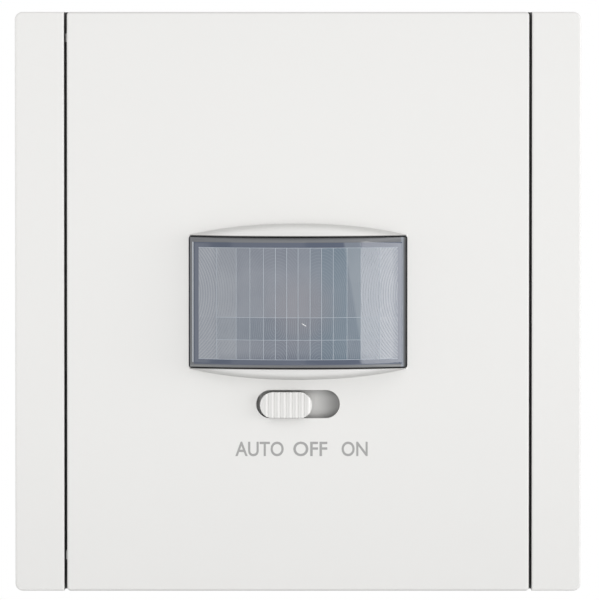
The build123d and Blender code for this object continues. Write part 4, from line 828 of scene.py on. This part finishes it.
def settle(
    piece: bpy.types.Object, body: str, matrix: Matrix = Matrix.Identity(4)
) -> None:
    """Puts a piece's place into its mesh and lets it ride.

    Args:
        piece: the piece, its object at the origin.
        body: the CAD body that it moves with.
        matrix: where the mesh goes.
    """
    piece.data.transform(matrix)
    piece.data.update()
    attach(piece, body)
    LOG.info("made %s with %d faces", piece.name, len(piece.data.polygons))


class ShapeTree(NodeTree):
    """A Geometry Nodes tree with named inputs, built step by step."""

    def __init__(self, name: str, sizes: dict[str, float]) -> None:
        """Starts a tree whose inputs are sizes and a material.

        Args:
            name: the tree's name.
            sizes: the inputs' names and first values; whole numbers make whole inputs.
        """
        self.tree = bpy.data.node_groups.new(name, "GeometryNodeTree")
        panel = self.tree.interface
        self.keys = {}
        for label, default in sizes.items():
            kind = "NodeSocketInt" if isinstance(default, int) else "NodeSocketFloat"
            socket = panel.new_socket(name=label, in_out="INPUT", socket_type=kind)
            socket.default_value = default
            self.keys[label] = socket.identifier
        socket = panel.new_socket(name="Material", in_out="INPUT", socket_type="NodeSocketMaterial")
        self.keys["Material"] = socket.identifier
        panel.new_socket(name="Geometry", in_out="OUTPUT", socket_type="NodeSocketGeometry")
        self.inputs = self.node("NodeGroupInput").outputs

    def tube(self, line: Socket, sides: Socket, radius: Socket) -> Socket:
        """Makes a round ridge along a line.

        Args:
            line: the line.
            sides: number of its sides.
            radius: its radius.

        Returns:
            The ridge, closed at its ends.
        """
        inputs = {"Resolution": sides, "Radius": radius}
        circle = self.node("GeometryNodeCurvePrimitiveCircle", {"mode": "RADIUS"}, inputs).outputs[0]
        inputs = {"Curve": line, "Profile Curve": circle, "Fill Caps": True}
        return self.node("GeometryNodeCurveToMesh", inputs=inputs).outputs[0]

    def finish(self, geometry: Socket, smooth: bool) -> None:
        """Ends the tree: real geometry in place of instances, shading and the material.

        Args:
            geometry: the shape.
            smooth: True for smooth shading.
        """
        real = self.node("GeometryNodeRealizeInstances", inputs={0: geometry}).outputs[0]
        inputs = {"Geometry": real, "Shade Smooth": smooth}
        shaded = self.node("GeometryNodeSetShadeSmooth", inputs=inputs).outputs[0]
        inputs = {"Geometry": shaded, "Material": self.inputs["Material"]}
        dressed = self.node("GeometryNodeSetMaterial", inputs=inputs).outputs[0]
        self.node("NodeGroupOutput", inputs={0: dressed})

    def grow(
        self,
        name: str,
        sizes: dict[str, float],
        material: bpy.types.Material,
        base: bpy.types.Mesh | None = None,
    ) -> bpy.types.Object:
        """Runs the tree and keeps its result as a plain mesh.

        Args:
            name: the piece's name.
            sizes: values of the tree's inputs.
            material: the material that the tree sets.
            base: mesh that the tree starts from, if it reads one.

        Returns:
            The piece, at the origin and with no modifier.
        """
        carrier = put(name + "_base", base or bpy.data.meshes.new(name + "_base"))
        modifier = carrier.modifiers.new("shape", "NODES")
        modifier.node_group = self.tree
        for label, value in {**sizes, "Material": material}.items():
            modifier[self.keys[label]] = value
        mesh = bake(carrier, name)
        if not mesh.materials:
            mesh.materials.append(material)
        return put(name, mesh)


def helix_tree() -> ShapeTree:
    """Lays out a ridge or wire wound round the Z axis: threads and windings.

    Returns:
        The tree.
    """
    sizes = {"Turns": 10.0, "Radius": 0.0015, "Length": 0.01, "Wire": 0.0002, "Sides": 4, "Steps": 20}
    tree = ShapeTree("helix", sizes)
    inputs = tree.inputs
    sockets = {
        "Resolution": inputs["Steps"],
        "Rotations": inputs["Turns"],
        "Start Radius": inputs["Radius"],
        "End Radius": inputs["Radius"],
        "Height": inputs["Length"],
    }
    line = tree.node("GeometryNodeCurveSpiral", inputs=sockets).outputs[0]
    tree.finish(tree.tube(line, inputs["Sides"], inputs["Wire"]), True)
    return tree


def bead_tree() -> ShapeTree:
    """Lays out thin beads along the edges of a base mesh.

    Returns:
        The tree, whose first input is the base.
    """
    tree = ShapeTree("beads", {"Bead": 0.00004, "Sides": 5})
    panel = tree.tree.interface
    panel.move(panel.new_socket(name="Base", in_out="INPUT", socket_type="NodeSocketGeometry"), 0)
    inputs = tree.tree.nodes["Group Input"].outputs
    line = tree.node("GeometryNodeMeshToCurve", inputs={"Mesh": inputs["Base"]}).outputs[0]
    tree.finish(tree.tube(line, inputs["Sides"], inputs["Bead"]), True)
    return tree


def scale_tree() -> ShapeTree:
    """Lays out raised ticks on an arc: the scale round a setting dial.

    Returns:
        The tree.
    """
    sizes = {"Ticks": 11, "Radius": 0.0041, "Sweep": 4.712, "Tick": 0.0008, "Width": 0.00018}
    tree = ShapeTree("dial_scale", sizes)
    inputs = tree.inputs
    halved = {0: inputs["Sweep"], 1: -0.5, 2: math.pi / 2}
    start = tree.node("ShaderNodeMath", {"operation": "MULTIPLY_ADD"}, halved).outputs[0]
    sockets = {
        "Resolution": inputs["Ticks"],
        "Radius": inputs["Radius"],
        "Start Angle": start,
        "Sweep Angle": inputs["Sweep"],
    }
    arc = tree.node("GeometryNodeCurveArc", {"mode": "RADIUS"}, sockets).outputs["Curve"]
    points = tree.node("GeometryNodeCurveToPoints", {"mode": "EVALUATED"}, {"Curve": arc}).outputs
    sides = {0: inputs["Width"], 1: inputs["Tick"], 2: inputs["Width"]}
    size = tree.node("ShaderNodeCombineXYZ", inputs=sides).outputs[0]
    tick = tree.node("GeometryNodeMeshCube", inputs={"Size": size}).outputs["Mesh"]
    sockets = {"Points": points["Points"], "Instance": tick, "Rotation": points["Rotation"]}
    placed = tree.node("GeometryNodeInstanceOnPoints", inputs=sockets).outputs[0]
    tree.finish(placed, False)
    return tree


def spread(marks: list[float], steps: int) -> list[float]:
    """The marks, with each stretch between two of them cut into equal steps."""
    cuts = [a + (b - a) * k / steps for a, b in zip(marks, marks[1:]) for k in range(steps)]
    return [*cuts, marks[-1]]


@dataclass(frozen=True)
class CellTones:
    """How light and how green the lens's cells are."""

    base: float = 0.44
    left_rise: float = 0.14
    left_drop: float = 0.04
    right_rise: float = 0.1
    end_pale: float = 0.22
    end_rise: float = 0.09
    lit: float = 0.1
    lit_at: float = 6.8
    lit_width: float = 0.9
    sunk: Triple = (0.0, 0.26, 0.17)
    mottle: float = 0.03
    mottle_across: float = 12.9
    mottle_down: float = 4.1
    green_at: float = 0.75
    green_width: float = 1.7
    green_row: float = 0.35

    def of(self, column: int, row: int, last: int) -> Span:
        """Works out a cell: outer cells are paler, the middle row is darker and greener.

        Args:
            column: the cell's column, from the left.
            row: its row, from the top.
            last: the last column.

        Returns:
            Its tone and its greenness.
        """
        off_centre = abs(column - last / 2) / (last / 2)
        mottle = math.sin(self.mottle_across * column + self.mottle_down * row) * self.mottle
        green = math.exp(-(((column - self.green_at * last) / self.green_width) ** 2))
        green += self.green_row * (row == 1) * (1 - off_centre**4)
        if column < 2:
            pale = self.end_pale + self.end_rise * column
        elif column < last / 2:
            pale = self.left_rise * off_centre**2 - self.left_drop
        else:
            pale = self.right_rise * off_centre**4
        lit = self.lit * math.exp(-(((column - self.lit_at) / self.lit_width) ** 2))
        sunk = self.sunk[row] * (1 - off_centre)
        return self.base + pale + lit - sunk + mottle, min(green, 1.0)


@dataclass
class Assembly:
    """A group of pieces that takes its looks from a palette."""

    palette: Palette


@dataclass
class BowedLens(Assembly):
    """Skin, seams, rings and the painted highlight bead on the left lip of the bowed lens: 14 columns of
    cells in 3 rows.
    """

    radius: float = 21.73 * MM
    axis_y: float = 5.91 * MM
    half_w: float = 15.395 * MM
    half_h: float = 9.245 * MM
    bevel: float = 0.57 * MM
    bevel_depth: float = 0.45 * MM
    shell: float = 0.5 * MM
    field_angle: float = 40.8
    right_shares: tuple[float, ...] = (0.0, 0.110, 0.216, 0.325, 0.456, 0.593, 0.792, 1.0)
    left_shares: tuple[float, ...] = (0.104, 0.208, 0.319, 0.448, 0.583, 0.787, 0.995)
    row_shares: tuple[float, ...] = (0.842, -0.226, -0.570, -0.871)
    tones: CellTones = CellTones()
    column_steps: int = 3
    row_steps: int = 2
    seam_steps: int = 8
    rim_steps: int = 4
    sharp: float = 40.0
    lip_x: float = 14.93 * MM
    lip_z: float = 8.55 * MM
    lip_proud: float = 0.03 * MM
    lip_bead: float = 0.1 * MM
    bead: float = 0.04 * MM
    seam_sink: float = 0.018 * MM
    arc_centre: float = 21.5
    arc_height: float = 1.1
    inner_centre: float = 3.1
    inner_heights: Triple = (0.5, -3.4, -9.0)
    squeeze_x: float = 1.3
    squeeze_z: float = 0.8
    ring_pitch: float = 0.36
    ring_step: float = 0.3
    ring_sink: float = 0.02 * MM

    def columns(self) -> list[float]:
        """Angles of the column edges, from left to right."""
        shares = [-share for share in reversed(self.left_shares)] + list(self.right_shares)
        return [math.radians(self.field_angle * share) for share in shares]

    def rows(self) -> list[float]:
        """Heights of the row edges, from the top down."""
        return [share * self.half_h for share in self.row_shares]

    def on_skin(self, angle: float, height: float, proud: float = 0.0) -> Vector:
        """A point on the bowed face."""
        reach = self.radius + proud
        return Vector((reach * math.sin(angle), self.axis_y - reach * math.cos(angle), height))

    def ring_frame(self, column: int, row: int) -> tuple[float, float, float, float]:
        """Places a cell's rings, in millimetres.

        Args:
            column: the cell's column.
            row: its row.

        Returns:
            The middle across and up, and the squeeze across and up.
        """
        count = len(self.columns()) - 1
        side = -1 if column < count / 2 else 1
        if 2 <= column <= count - 3:
            return side * self.inner_centre, self.inner_heights[row], self.squeeze_x, self.squeeze_z
        return side * self.arc_centre, self.arc_height, 1.0, 1.0

    def ring_place(self, angle: float, height: float, column: int, row: int) -> Span:
        """Place of a point against the middle of its cell's rings, in millimetres."""
        middle_x, middle_z, across, up = self.ring_frame(column, row)
        return (self.radius * math.sin(angle) / MM - middle_x) * across, (height / MM - middle_z) * up

    def rim_profile(self) -> list[Span]:
        """Steps outward and backward of the rounded rim, then of its straight side."""
        turns = [math.radians(90 * k / self.rim_steps) for k in range(1, self.rim_steps + 1)]
        steps = [(self.bevel * math.sin(t), self.bevel_depth * (1 - math.cos(t))) for t in turns]
        return steps + [(self.bevel, self.bevel_depth + self.shell)]

    @staticmethod
    def outline(layer: list[list[bmesh.types.BMVert]]) -> list[bmesh.types.BMVert]:
        """The vertices round a grid, in order."""
        right = [line[-1] for line in layer[1:-1]]
        left = [line[0] for line in layer[1:-1]]
        return layer[0] + right + layer[-1][::-1] + left[::-1]

    def faces(
        self, mesh: bmesh.types.BMesh, sheets: list, angles: list[float], heights: list[float]
    ) -> None:
        """Fills front and back and writes each front face's cell into it.

        Args:
            mesh: the mesh being built.
            sheets: the vertex grids of front and back.
            angles: angles of the grids' columns.
            heights: heights of their rows.
        """
        front, back = sheets
        rings = mesh.loops.layers.uv["rings"]
        tone, tint, zone = (mesh.faces.layers.float[name] for name in ("tone", "tint", "zone"))
        columns, rows = len(self.columns()) - 1, len(self.rows()) - 1
        for i in range(len(heights) - 1):
            for k in range(len(angles) - 1):
                corners = ((i, k), (i, k + 1), (i + 1, k + 1), (i + 1, k))
                face = mesh.faces.new([front[m][n] for m, n in corners])
                mesh.faces.new([back[m][n] for m, n in reversed(corners)])
                cell = column, row = k // self.column_steps - 1, i // self.row_steps - 1
                inside = 0 <= column < columns and 0 <= row < rows
                face[zone] = 1.0 if inside else 0.5
                if inside:
                    face[tone], face[tint] = self.tones.of(*cell, columns - 1)
                    for loop, (m, n) in zip(face.loops, corners):
                        loop[rings].uv = self.ring_place(angles[n], heights[m], *cell)

    def skin(self) -> None:
        """Builds the closed skin with a rounded rim."""
        edge_x, edge_z = self.half_w - self.bevel, self.half_h - self.bevel
        edge_angle = math.asin(edge_x / self.radius)
        angles = spread([-edge_angle, *self.columns(), edge_angle], self.column_steps)
        heights = spread([edge_z, *self.rows(), -edge_z], self.row_steps)
        mesh = bmesh.new()
        mesh.loops.layers.uv.new("rings")
        for name in ("tone", "tint", "zone"):
            mesh.faces.layers.float.new(name)
        front = [[mesh.verts.new(self.on_skin(a, z)) for a in angles] for z in heights]
        layers = [front]
        for out, sink in self.rim_profile():
            wide, high = 1 + out / edge_x, 1 + out / edge_z
            places = [[(v.co.x * wide, v.co.y + sink, v.co.z * high) for v in line] for line in front]
            layers.append([[mesh.verts.new(place) for place in line] for line in places])
        self.faces(mesh, [layers[0], layers[-1]], angles, heights)
        for outer, inner in zip(layers, layers[1:]):
            first, second = self.outline(outer), self.outline(inner)
            for k in range(len(first)):
                n = (k + 1) % len(first)
                mesh.faces.new((first[n], first[k], second[k], second[n]))
        loose = [v for v in mesh.verts if not v.link_faces]
        bmesh.ops.delete(mesh, geom=loose, context="VERTS")
        bmesh.ops.recalc_face_normals(mesh, faces=mesh.faces)
        for face in mesh.faces:
            face.smooth = True
        sharp = math.radians(self.sharp)
        for edge in mesh.edges:
            edge.smooth = len(edge.link_faces) == 2 and edge.calc_face_angle() < sharp
        data = bpy.data.meshes.new("lens_skin")
        mesh.to_mesh(data)
        mesh.free()
        data.materials.append(self.palette.get(LensSheet("lens_film", self.ring_pitch)))
        settle(put("lens_skin", data), "sensor_head")

    def beads(
        self, name: str, lines: list[list[Vector]], bead: float, sides: int, finish: Finish
    ) -> None:
        """Grows beads along lines and lets them ride on the sensor head.

        Args:
            name: the piece's name.
            lines: the points of each line.
            bead: the beads' radius.
            sides: number of their sides.
            finish: their look.
        """
        base = bmesh.new()
        for points in lines:
            line = [base.verts.new(point) for point in points]
            for first, second in zip(line, line[1:]):
                base.edges.new((first, second))
        data = bpy.data.meshes.new(name + "_lines")
        base.to_mesh(data)
        base.free()
        sizes = {"Bead": bead, "Sides": sides}
        piece = bead_tree().grow(name, sizes, self.palette.get(finish), data)
        settle(piece, "sensor_head")

    def seams(self) -> None:
        """Builds the light beads between the cells; the two inner ones stop short of the ends."""
        columns, rows = self.columns(), self.rows()
        fine = spread(columns, self.seam_steps)
        short = [angle for angle in fine if columns[1] <= angle <= columns[-3]]
        lines = []
        for height in rows:
            along = fine if height in (rows[0], rows[-1]) else short
            lines.append([self.on_skin(angle, height, -self.seam_sink) for angle in along])
        lines += [[self.on_skin(angle, z) for z in rows] for angle in columns[1:-1]]
        self.beads("lens_seams", lines, self.bead, 5, SEAM)

    def ring_runs(self, column: int, row: int) -> list[list[Vector]]:
        """Cuts a cell's rings at its borders.

        Args:
            column: the cell's column.
            row: its row.

        Returns:
            The parts inside the cell, as lines of points.
        """
        columns, rows = self.columns(), self.rows()
        left, right = (self.radius * math.sin(columns[column + k]) / MM for k in (0, 1))
        top, bottom = rows[row] / MM, rows[row + 1] / MM
        middle_x, middle_z, across, up = self.ring_frame(column, row)
        corners = [(x - middle_x, z - middle_z) for x in (left, right) for z in (top, bottom)]
        far = max(math.hypot(x * across, z * up) for x, z in corners)
        runs = []
        for number in range(1, int(far / self.ring_pitch) + 1):
            reach = number * self.ring_pitch
            count = max(12, int(2 * math.pi * reach / self.ring_step))
            run = []
            for k in range(count + 1):
                turn = 2 * math.pi * k / count
                x = middle_x + reach * math.cos(turn) / across
                z = middle_z + reach * math.sin(turn) / up
                if left < x < right and bottom < z < top:
                    run.append(self.on_skin(math.asin(x * MM / self.radius), z * MM, -self.ring_sink))
                elif run:
                    runs.append(run)
                    run = []
            runs.append(run)
        return [run for run in runs if len(run) > 1]

    def rings(self) -> None:
        """Builds the pressed rings of every cell as low ridges."""
        cells = [(c, r) for c in range(len(self.columns()) - 1) for r in range(len(self.rows()) - 1)]
        lines = [run for cell in cells for run in self.ring_runs(*cell)]
        self.beads("lens_rings", lines, self.bead, 4, RIDGE)

    def lip(self) -> None:
        """Builds a pale bead along the lens's left side whose colour is a painted highlight on its edge.
        """
        side = -math.asin(self.lip_x / self.radius)
        line = [self.on_skin(side, sign * self.lip_z, self.lip_proud) for sign in (1, -1)]
        self.beads("lens_lip", [line], self.lip_bead, 8, LIP_HIGHLIGHT)


@dataclass
class Lettering:
    """Generic words and signs, printed or raised on a flat face."""

    face_y: float
    height: float
    lift: float = 0.012 * MM
    weight: float = 0.003
    body: float = 0.004
    widest: float = 1.4
    sunk: float = 0.25
    bends: int = 4

    def word(
        self, text: str, name: str, sides: Span, bottom: float, ink: bpy.types.Material
    ) -> bpy.types.Object:
        """Sets one word between two edges.

        Args:
            text: the word.
            name: the piece's name.
            sides: its left and right edge, as seen from the side that it faces.
            bottom: its base line.
            ink: its material.

        Returns:
            The word as a mesh, its place applied.
        """
        curve = bpy.data.curves.new(name, "FONT")
        curve.body = text
        curve.extrude = self.body
        curve.offset = self.weight
        curve.resolution_u = self.bends
        mesh = bake(put(name + "_curve", curve), name)
        low = Vector([min(v.co[i] for v in mesh.vertices) for i in range(3)])
        high = Vector([max(v.co[i] for v in mesh.vertices) for i in range(3)])
        left, right = sides
        across, up = abs(right - left) / (high.x - low.x), self.height / (high.y - low.y)
        facing = 1 if right > left else -1
        if across > self.widest * up:
            left += facing * (high.x - low.x) * (across - up) / 2
            across = up
        thick = self.lift / (high.z - low.z)
        for vertex in mesh.vertices:
            x, y, z = vertex.co - low
            proud = facing * (z * thick - self.sunk * self.lift)
            vertex.co = (left + facing * x * across, self.face_y - proud, bottom + y * up)
        mesh.materials.clear()
        mesh.materials.append(ink)
        return put(name, mesh)


@dataclass
class FrontCover(Assembly):
    """Cover frame, front panel and slider with their printed words."""

    face_y: float = -9.5 * MM
    cap_height: float = 2.1 * MM
    base_line: float = -22.03 * MM
    print_weight: float = 0.014
    words: tuple[tuple[str, float, float], ...] = (
        ("AUTO", -8.93, -2.04),
        ("OFF", -0.68, 4.17),
        ("ON", 6.2, 9.92),
    )

    def build(self) -> None:
        """Dresses the white mouldings and prints the words."""
        self.palette.dress("white_cover", "cover_frame")
        self.palette.dress("white_panel", "front_panel")
        self.palette.dress("white_slider", "mode_slider")
        print_run = Lettering(self.face_y, self.cap_height, weight=self.print_weight)
        for text, left, right in self.words:
            name, sides = "word_" + text.lower(), (left * MM, right * MM)
            piece = print_run.word(text, name, sides, self.base_line, self.palette.get(INK))
            settle(piece, "sensor_head")


@dataclass
class SensorHead(Assembly):
    """What the plug-on head holds behind the panel."""

    nodes: tuple[tuple[str, str], ...] = (
        ("lens_sheet", "fresnel_lens"),
        ("black_plastic", "lens_bezel mode_switch switch_actuator plug_header"),
        ("head_plastic", "slider_retainer sensor_housing"),
        ("screw_steel", "head_screws board_screws"),
        ("board_green", "sensor_board"),
        ("can_metal", "pir_sensor"),
        ("filter_glass", "pir_window"),
        ("clear_epoxy", "light_sensor"),
        ("red_epoxy", "status_led"),
        ("chip_black", "controller_chip"),
        ("capacitor_sleeve", "board_capacitor"),
        ("trimmer_blue", "lux_trimmer time_trimmer"),
        ("dial_plastic", "lux_dial time_dial"),
        ("gold_pin", "plug_pins"),
    )
    scale_gap: float = 0.9 * MM

    def build(self) -> None:
        """Dresses the head's pieces, skins its lens and marks its dials."""
        for slot, nodes in self.nodes:
            self.palette.dress(slot, nodes)
        lens = BowedLens(self.palette)
        for make in (lens.skin, lens.seams, lens.rings, lens.lip):
            make()
        back_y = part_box("sensor_housing")[1].y
        scale = scale_tree()
        for dial in ("lux_dial", "time_dial"):
            low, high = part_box(dial)
            sizes = {"Radius": (high.x - low.x) / 2 + self.scale_gap}
            piece = scale.grow(dial + "_scale", sizes, self.palette.get(DARK_INK))
            place = standing(low, high, back_y) @ Matrix.Scale(-1, 4, (0, 1, 0))
            settle(piece, "sensor_head", place)
            piece.data.flip_normals()


@dataclass
class WallInsert(Assembly):
    """Support plate, insert and power section."""

    nodes: tuple[tuple[str, str], ...] = (
        ("zinc_steel", "support_plate terminal_cages"),
        ("screw_steel", "plate_rivets power_board_screws terminal_screws"),
        ("insert_plastic", "insert_housing insert_tub"),
        ("spring_steel", "head_springs"),
        ("black_plastic", "socket_connector"),
        ("board_green", "power_board"),
        ("relay_case", "relay"),
        ("film_yellow", "line_capacitor snubber_capacitor"),
        ("capacitor_sleeve", "bulk_capacitor"),
        ("varistor_blue", "varistor"),
        ("fuse_brown", "fuse"),
        ("ferrite", "choke"),
        ("terminal_grey", "terminal_block"),
    )
    wire: float = 0.17 * MM
    core: float = 3.62 * MM
    flange: float = 1.3 * MM
    marks: tuple[tuple[str, float], ...] = (("L", -10.8), ("N", -3.6), ("1", 3.6), ("2", 10.8))
    mark_height: float = 2.4 * MM
    mark_share: float = 0.55
    mark_line: float = -12.4 * MM
    mark_lift: float = 0.006 * MM

    def build(self) -> None:
        """Dresses the insert's pieces, winds the choke and marks the terminals."""
        for slot, nodes in self.nodes:
            self.palette.dress(slot, nodes)
        low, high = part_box("choke")
        length = high.y - low.y - 2 * self.flange - 2 * self.wire
        sizes = {"Turns": length / (2 * self.wire), "Radius": self.core, "Length": length}
        sizes |= {"Wire": self.wire, "Sides": 6, "Steps": 20}
        winding = helix_tree().grow("choke_winding", sizes, self.palette.get(COPPER))
        place = standing(low, high, low.y + self.flange + self.wire)
        settle(winding, "insert", place)
        back_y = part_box("insert_housing")[1].y
        moulded = Lettering(back_y, self.mark_height, self.mark_lift)
        half = self.mark_share * self.mark_height / 2
        for text, x in self.marks:
            sides = (x * MM + half, x * MM - half)
            name = "mark_" + text.lower()
            piece = moulded.word(text, name, sides, self.mark_line, self.palette.get(DARK_INK))
            settle(piece, "insert")


@dataclass
class SpreadingClaw(Assembly):
    """One claw with the thread of its screw."""

    side: str
    pitch: float = 0.5 * MM
    core: float = 1.47 * MM
    ridge: float = 0.22 * MM
    start: float = 4.0 * MM

    def build(self) -> None:
        """Dresses the claw and its screw and winds the thread."""
        claw, screw = f"claw_{self.side}", f"claw_{self.side}_screw"
        self.palette.dress("zinc_steel", claw)
        self.palette.dress("screw_steel", screw)
        low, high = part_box(screw)
        length = high.y - low.y - self.start - 2 * self.pitch
        sizes = {"Turns": length / self.pitch, "Radius": self.core, "Length": length}
        sizes |= {"Wire": self.ridge, "Sides": 3, "Steps": 18}
        steel = self.palette.get(FINISHES["screw_steel"])
        thread = helix_tree().grow(screw + "_thread", sizes, steel)
        settle(thread, screw, standing(low, high, low.y + self.start))


@dataclass(frozen=True)
class SoftBox:
    """A rectangular lamp that faces the object: its middle, sides and power."""

    name: str
    place: Triple
    size: Span
    watts: float

    def build(self) -> None:
        """Hangs the lamp."""
        light = bpy.data.lights.new(self.name, "AREA")
        light.shape = "RECTANGLE"
        light.size, light.size_y = self.size
        light.energy = self.watts
        lamp = put(self.name, light)
        lamp.location = self.place
        lamp.rotation_euler = (-Vector(self.place)).to_track_quat("-Z", "Y").to_euler()


@dataclass
class Studio:
    """Floor, lamps, white surroundings and the camera."""

    floor_z: float = -0.1
    floor_radius: float = 0.3
    floor_sides: int = 96
    floor_grey: Colour = (0.86, 0.86, 0.86)
    fade: Span = (0.35, 0.95)
    white: Colour = (1.0, 1.0, 1.0)
    daylight: float = 0.66
    lamps: tuple[SoftBox, ...] = (
        SoftBox("key", (-0.43, -1.0, 0.05), (1.2, 0.8), 2.0),
        SoftBox("low_key", (-0.1, -0.95, -0.26), (0.9, 0.16), 1.0),
        SoftBox("top_key", (-0.35, -0.8, 0.6), (0.4, 0.4), 0.62),
        SoftBox("side_box", (0.583, -0.212, 0.02), (0.476, 0.22), 1.6),
        SoftBox("side_fill", (-0.66, -0.03, 0.02), (0.4, 0.22), 0.25),
    )
    distance: float = 1.0
    elevation: float = 1.7
    sensor: float = 36.0
    clip: Span = (0.01, 10.0)
    frame_height: float = 0.08544
    aim: Triple = (0.00021, -0.0095, 0.00025)

    def floor(self) -> None:
        """Lays a pale round floor that fades into the white and isn't seen from below."""
        mesh = bmesh.new()
        bmesh.ops.create_circle(mesh, cap_ends=True, segments=self.floor_sides, radius=self.floor_radius)
        data = bpy.data.meshes.new("studio_floor")
        mesh.to_mesh(data)
        mesh.free()
        data.transform(Matrix.Translation((0, 0, self.floor_z)))
        graph = Graph("studio_floor")
        reach = graph.length(graph.place()) / self.floor_radius
        fade = graph.step(reach, *self.fade)
        matt = graph.node("ShaderNodeBsdfDiffuse", inputs={"Color": self.floor_grey}).outputs[0]
        glow = {"Color": self.white, "Strength": 1.0}
        white = graph.node("ShaderNodeEmission", inputs=glow).outputs[0]
        mixed = graph.node("ShaderNodeMixShader", inputs={0: fade * graph.seen(), 1: matt, 2: white})
        below = graph.node("ShaderNodeNewGeometry").outputs["Backfacing"]
        clear = graph.node("ShaderNodeBsdfTransparent").outputs[0]
        sides = {0: below, 1: mixed.outputs[0], 2: clear}
        data.materials.append(graph.close(graph.node("ShaderNodeMixShader", inputs=sides)))
        piece = put("studio_floor", data)

    def surroundings(self) -> None:
        """Sets white for the camera and reflections, and softer light for everything else."""
        graph = Graph("studio_world", world=True)
        layers = {0: graph.seen()}
        for number, power in ((1, self.daylight), (2, 1.0)):
            inputs = {"Color": self.white, "Strength": power}
            layers[number] = graph.node("ShaderNodeBackground", inputs=inputs).outputs[0]
        bpy.context.scene.world = graph.close(graph.node("ShaderNodeMixShader", inputs=layers))

    def camera(self) -> None:
        """Sets up the camera at the photograph's angle."""
        data = bpy.data.cameras.new("studio_camera")
        data.sensor_width = self.sensor
        data.lens = self.sensor * self.distance / self.frame_height
        data.clip_start, data.clip_end = self.clip
        rise = math.radians(self.elevation)
        back = Vector((0.0, -math.cos(rise), math.sin(rise)))
        camera = put("studio_camera", data)
        camera.location = Vector(self.aim) + back * self.distance
        camera.rotation_euler = (-back).to_track_quat("-Z", "Y").to_euler()
        bpy.context.scene.camera = camera

    def build(self) -> None:
        """Builds the whole studio."""
        self.floor()
        self.surroundings()
        for lamp in self.lamps:
            lamp.build()
        bpy.context.scene.view_settings.view_transform = "Standard"
        self.camera()


def main() -> None:
    """Builds every piece and the studio."""
    logging.basicConfig(level=logging.INFO, format="%(message)s")
    palette = Palette()
    for assembly in (FrontCover, SensorHead, WallInsert):
        assembly(palette).build()
    for side in ("left", "right"):
        SpreadingClaw(palette, side).build()
    Studio().build()


if __name__ == "__main__":
    main()
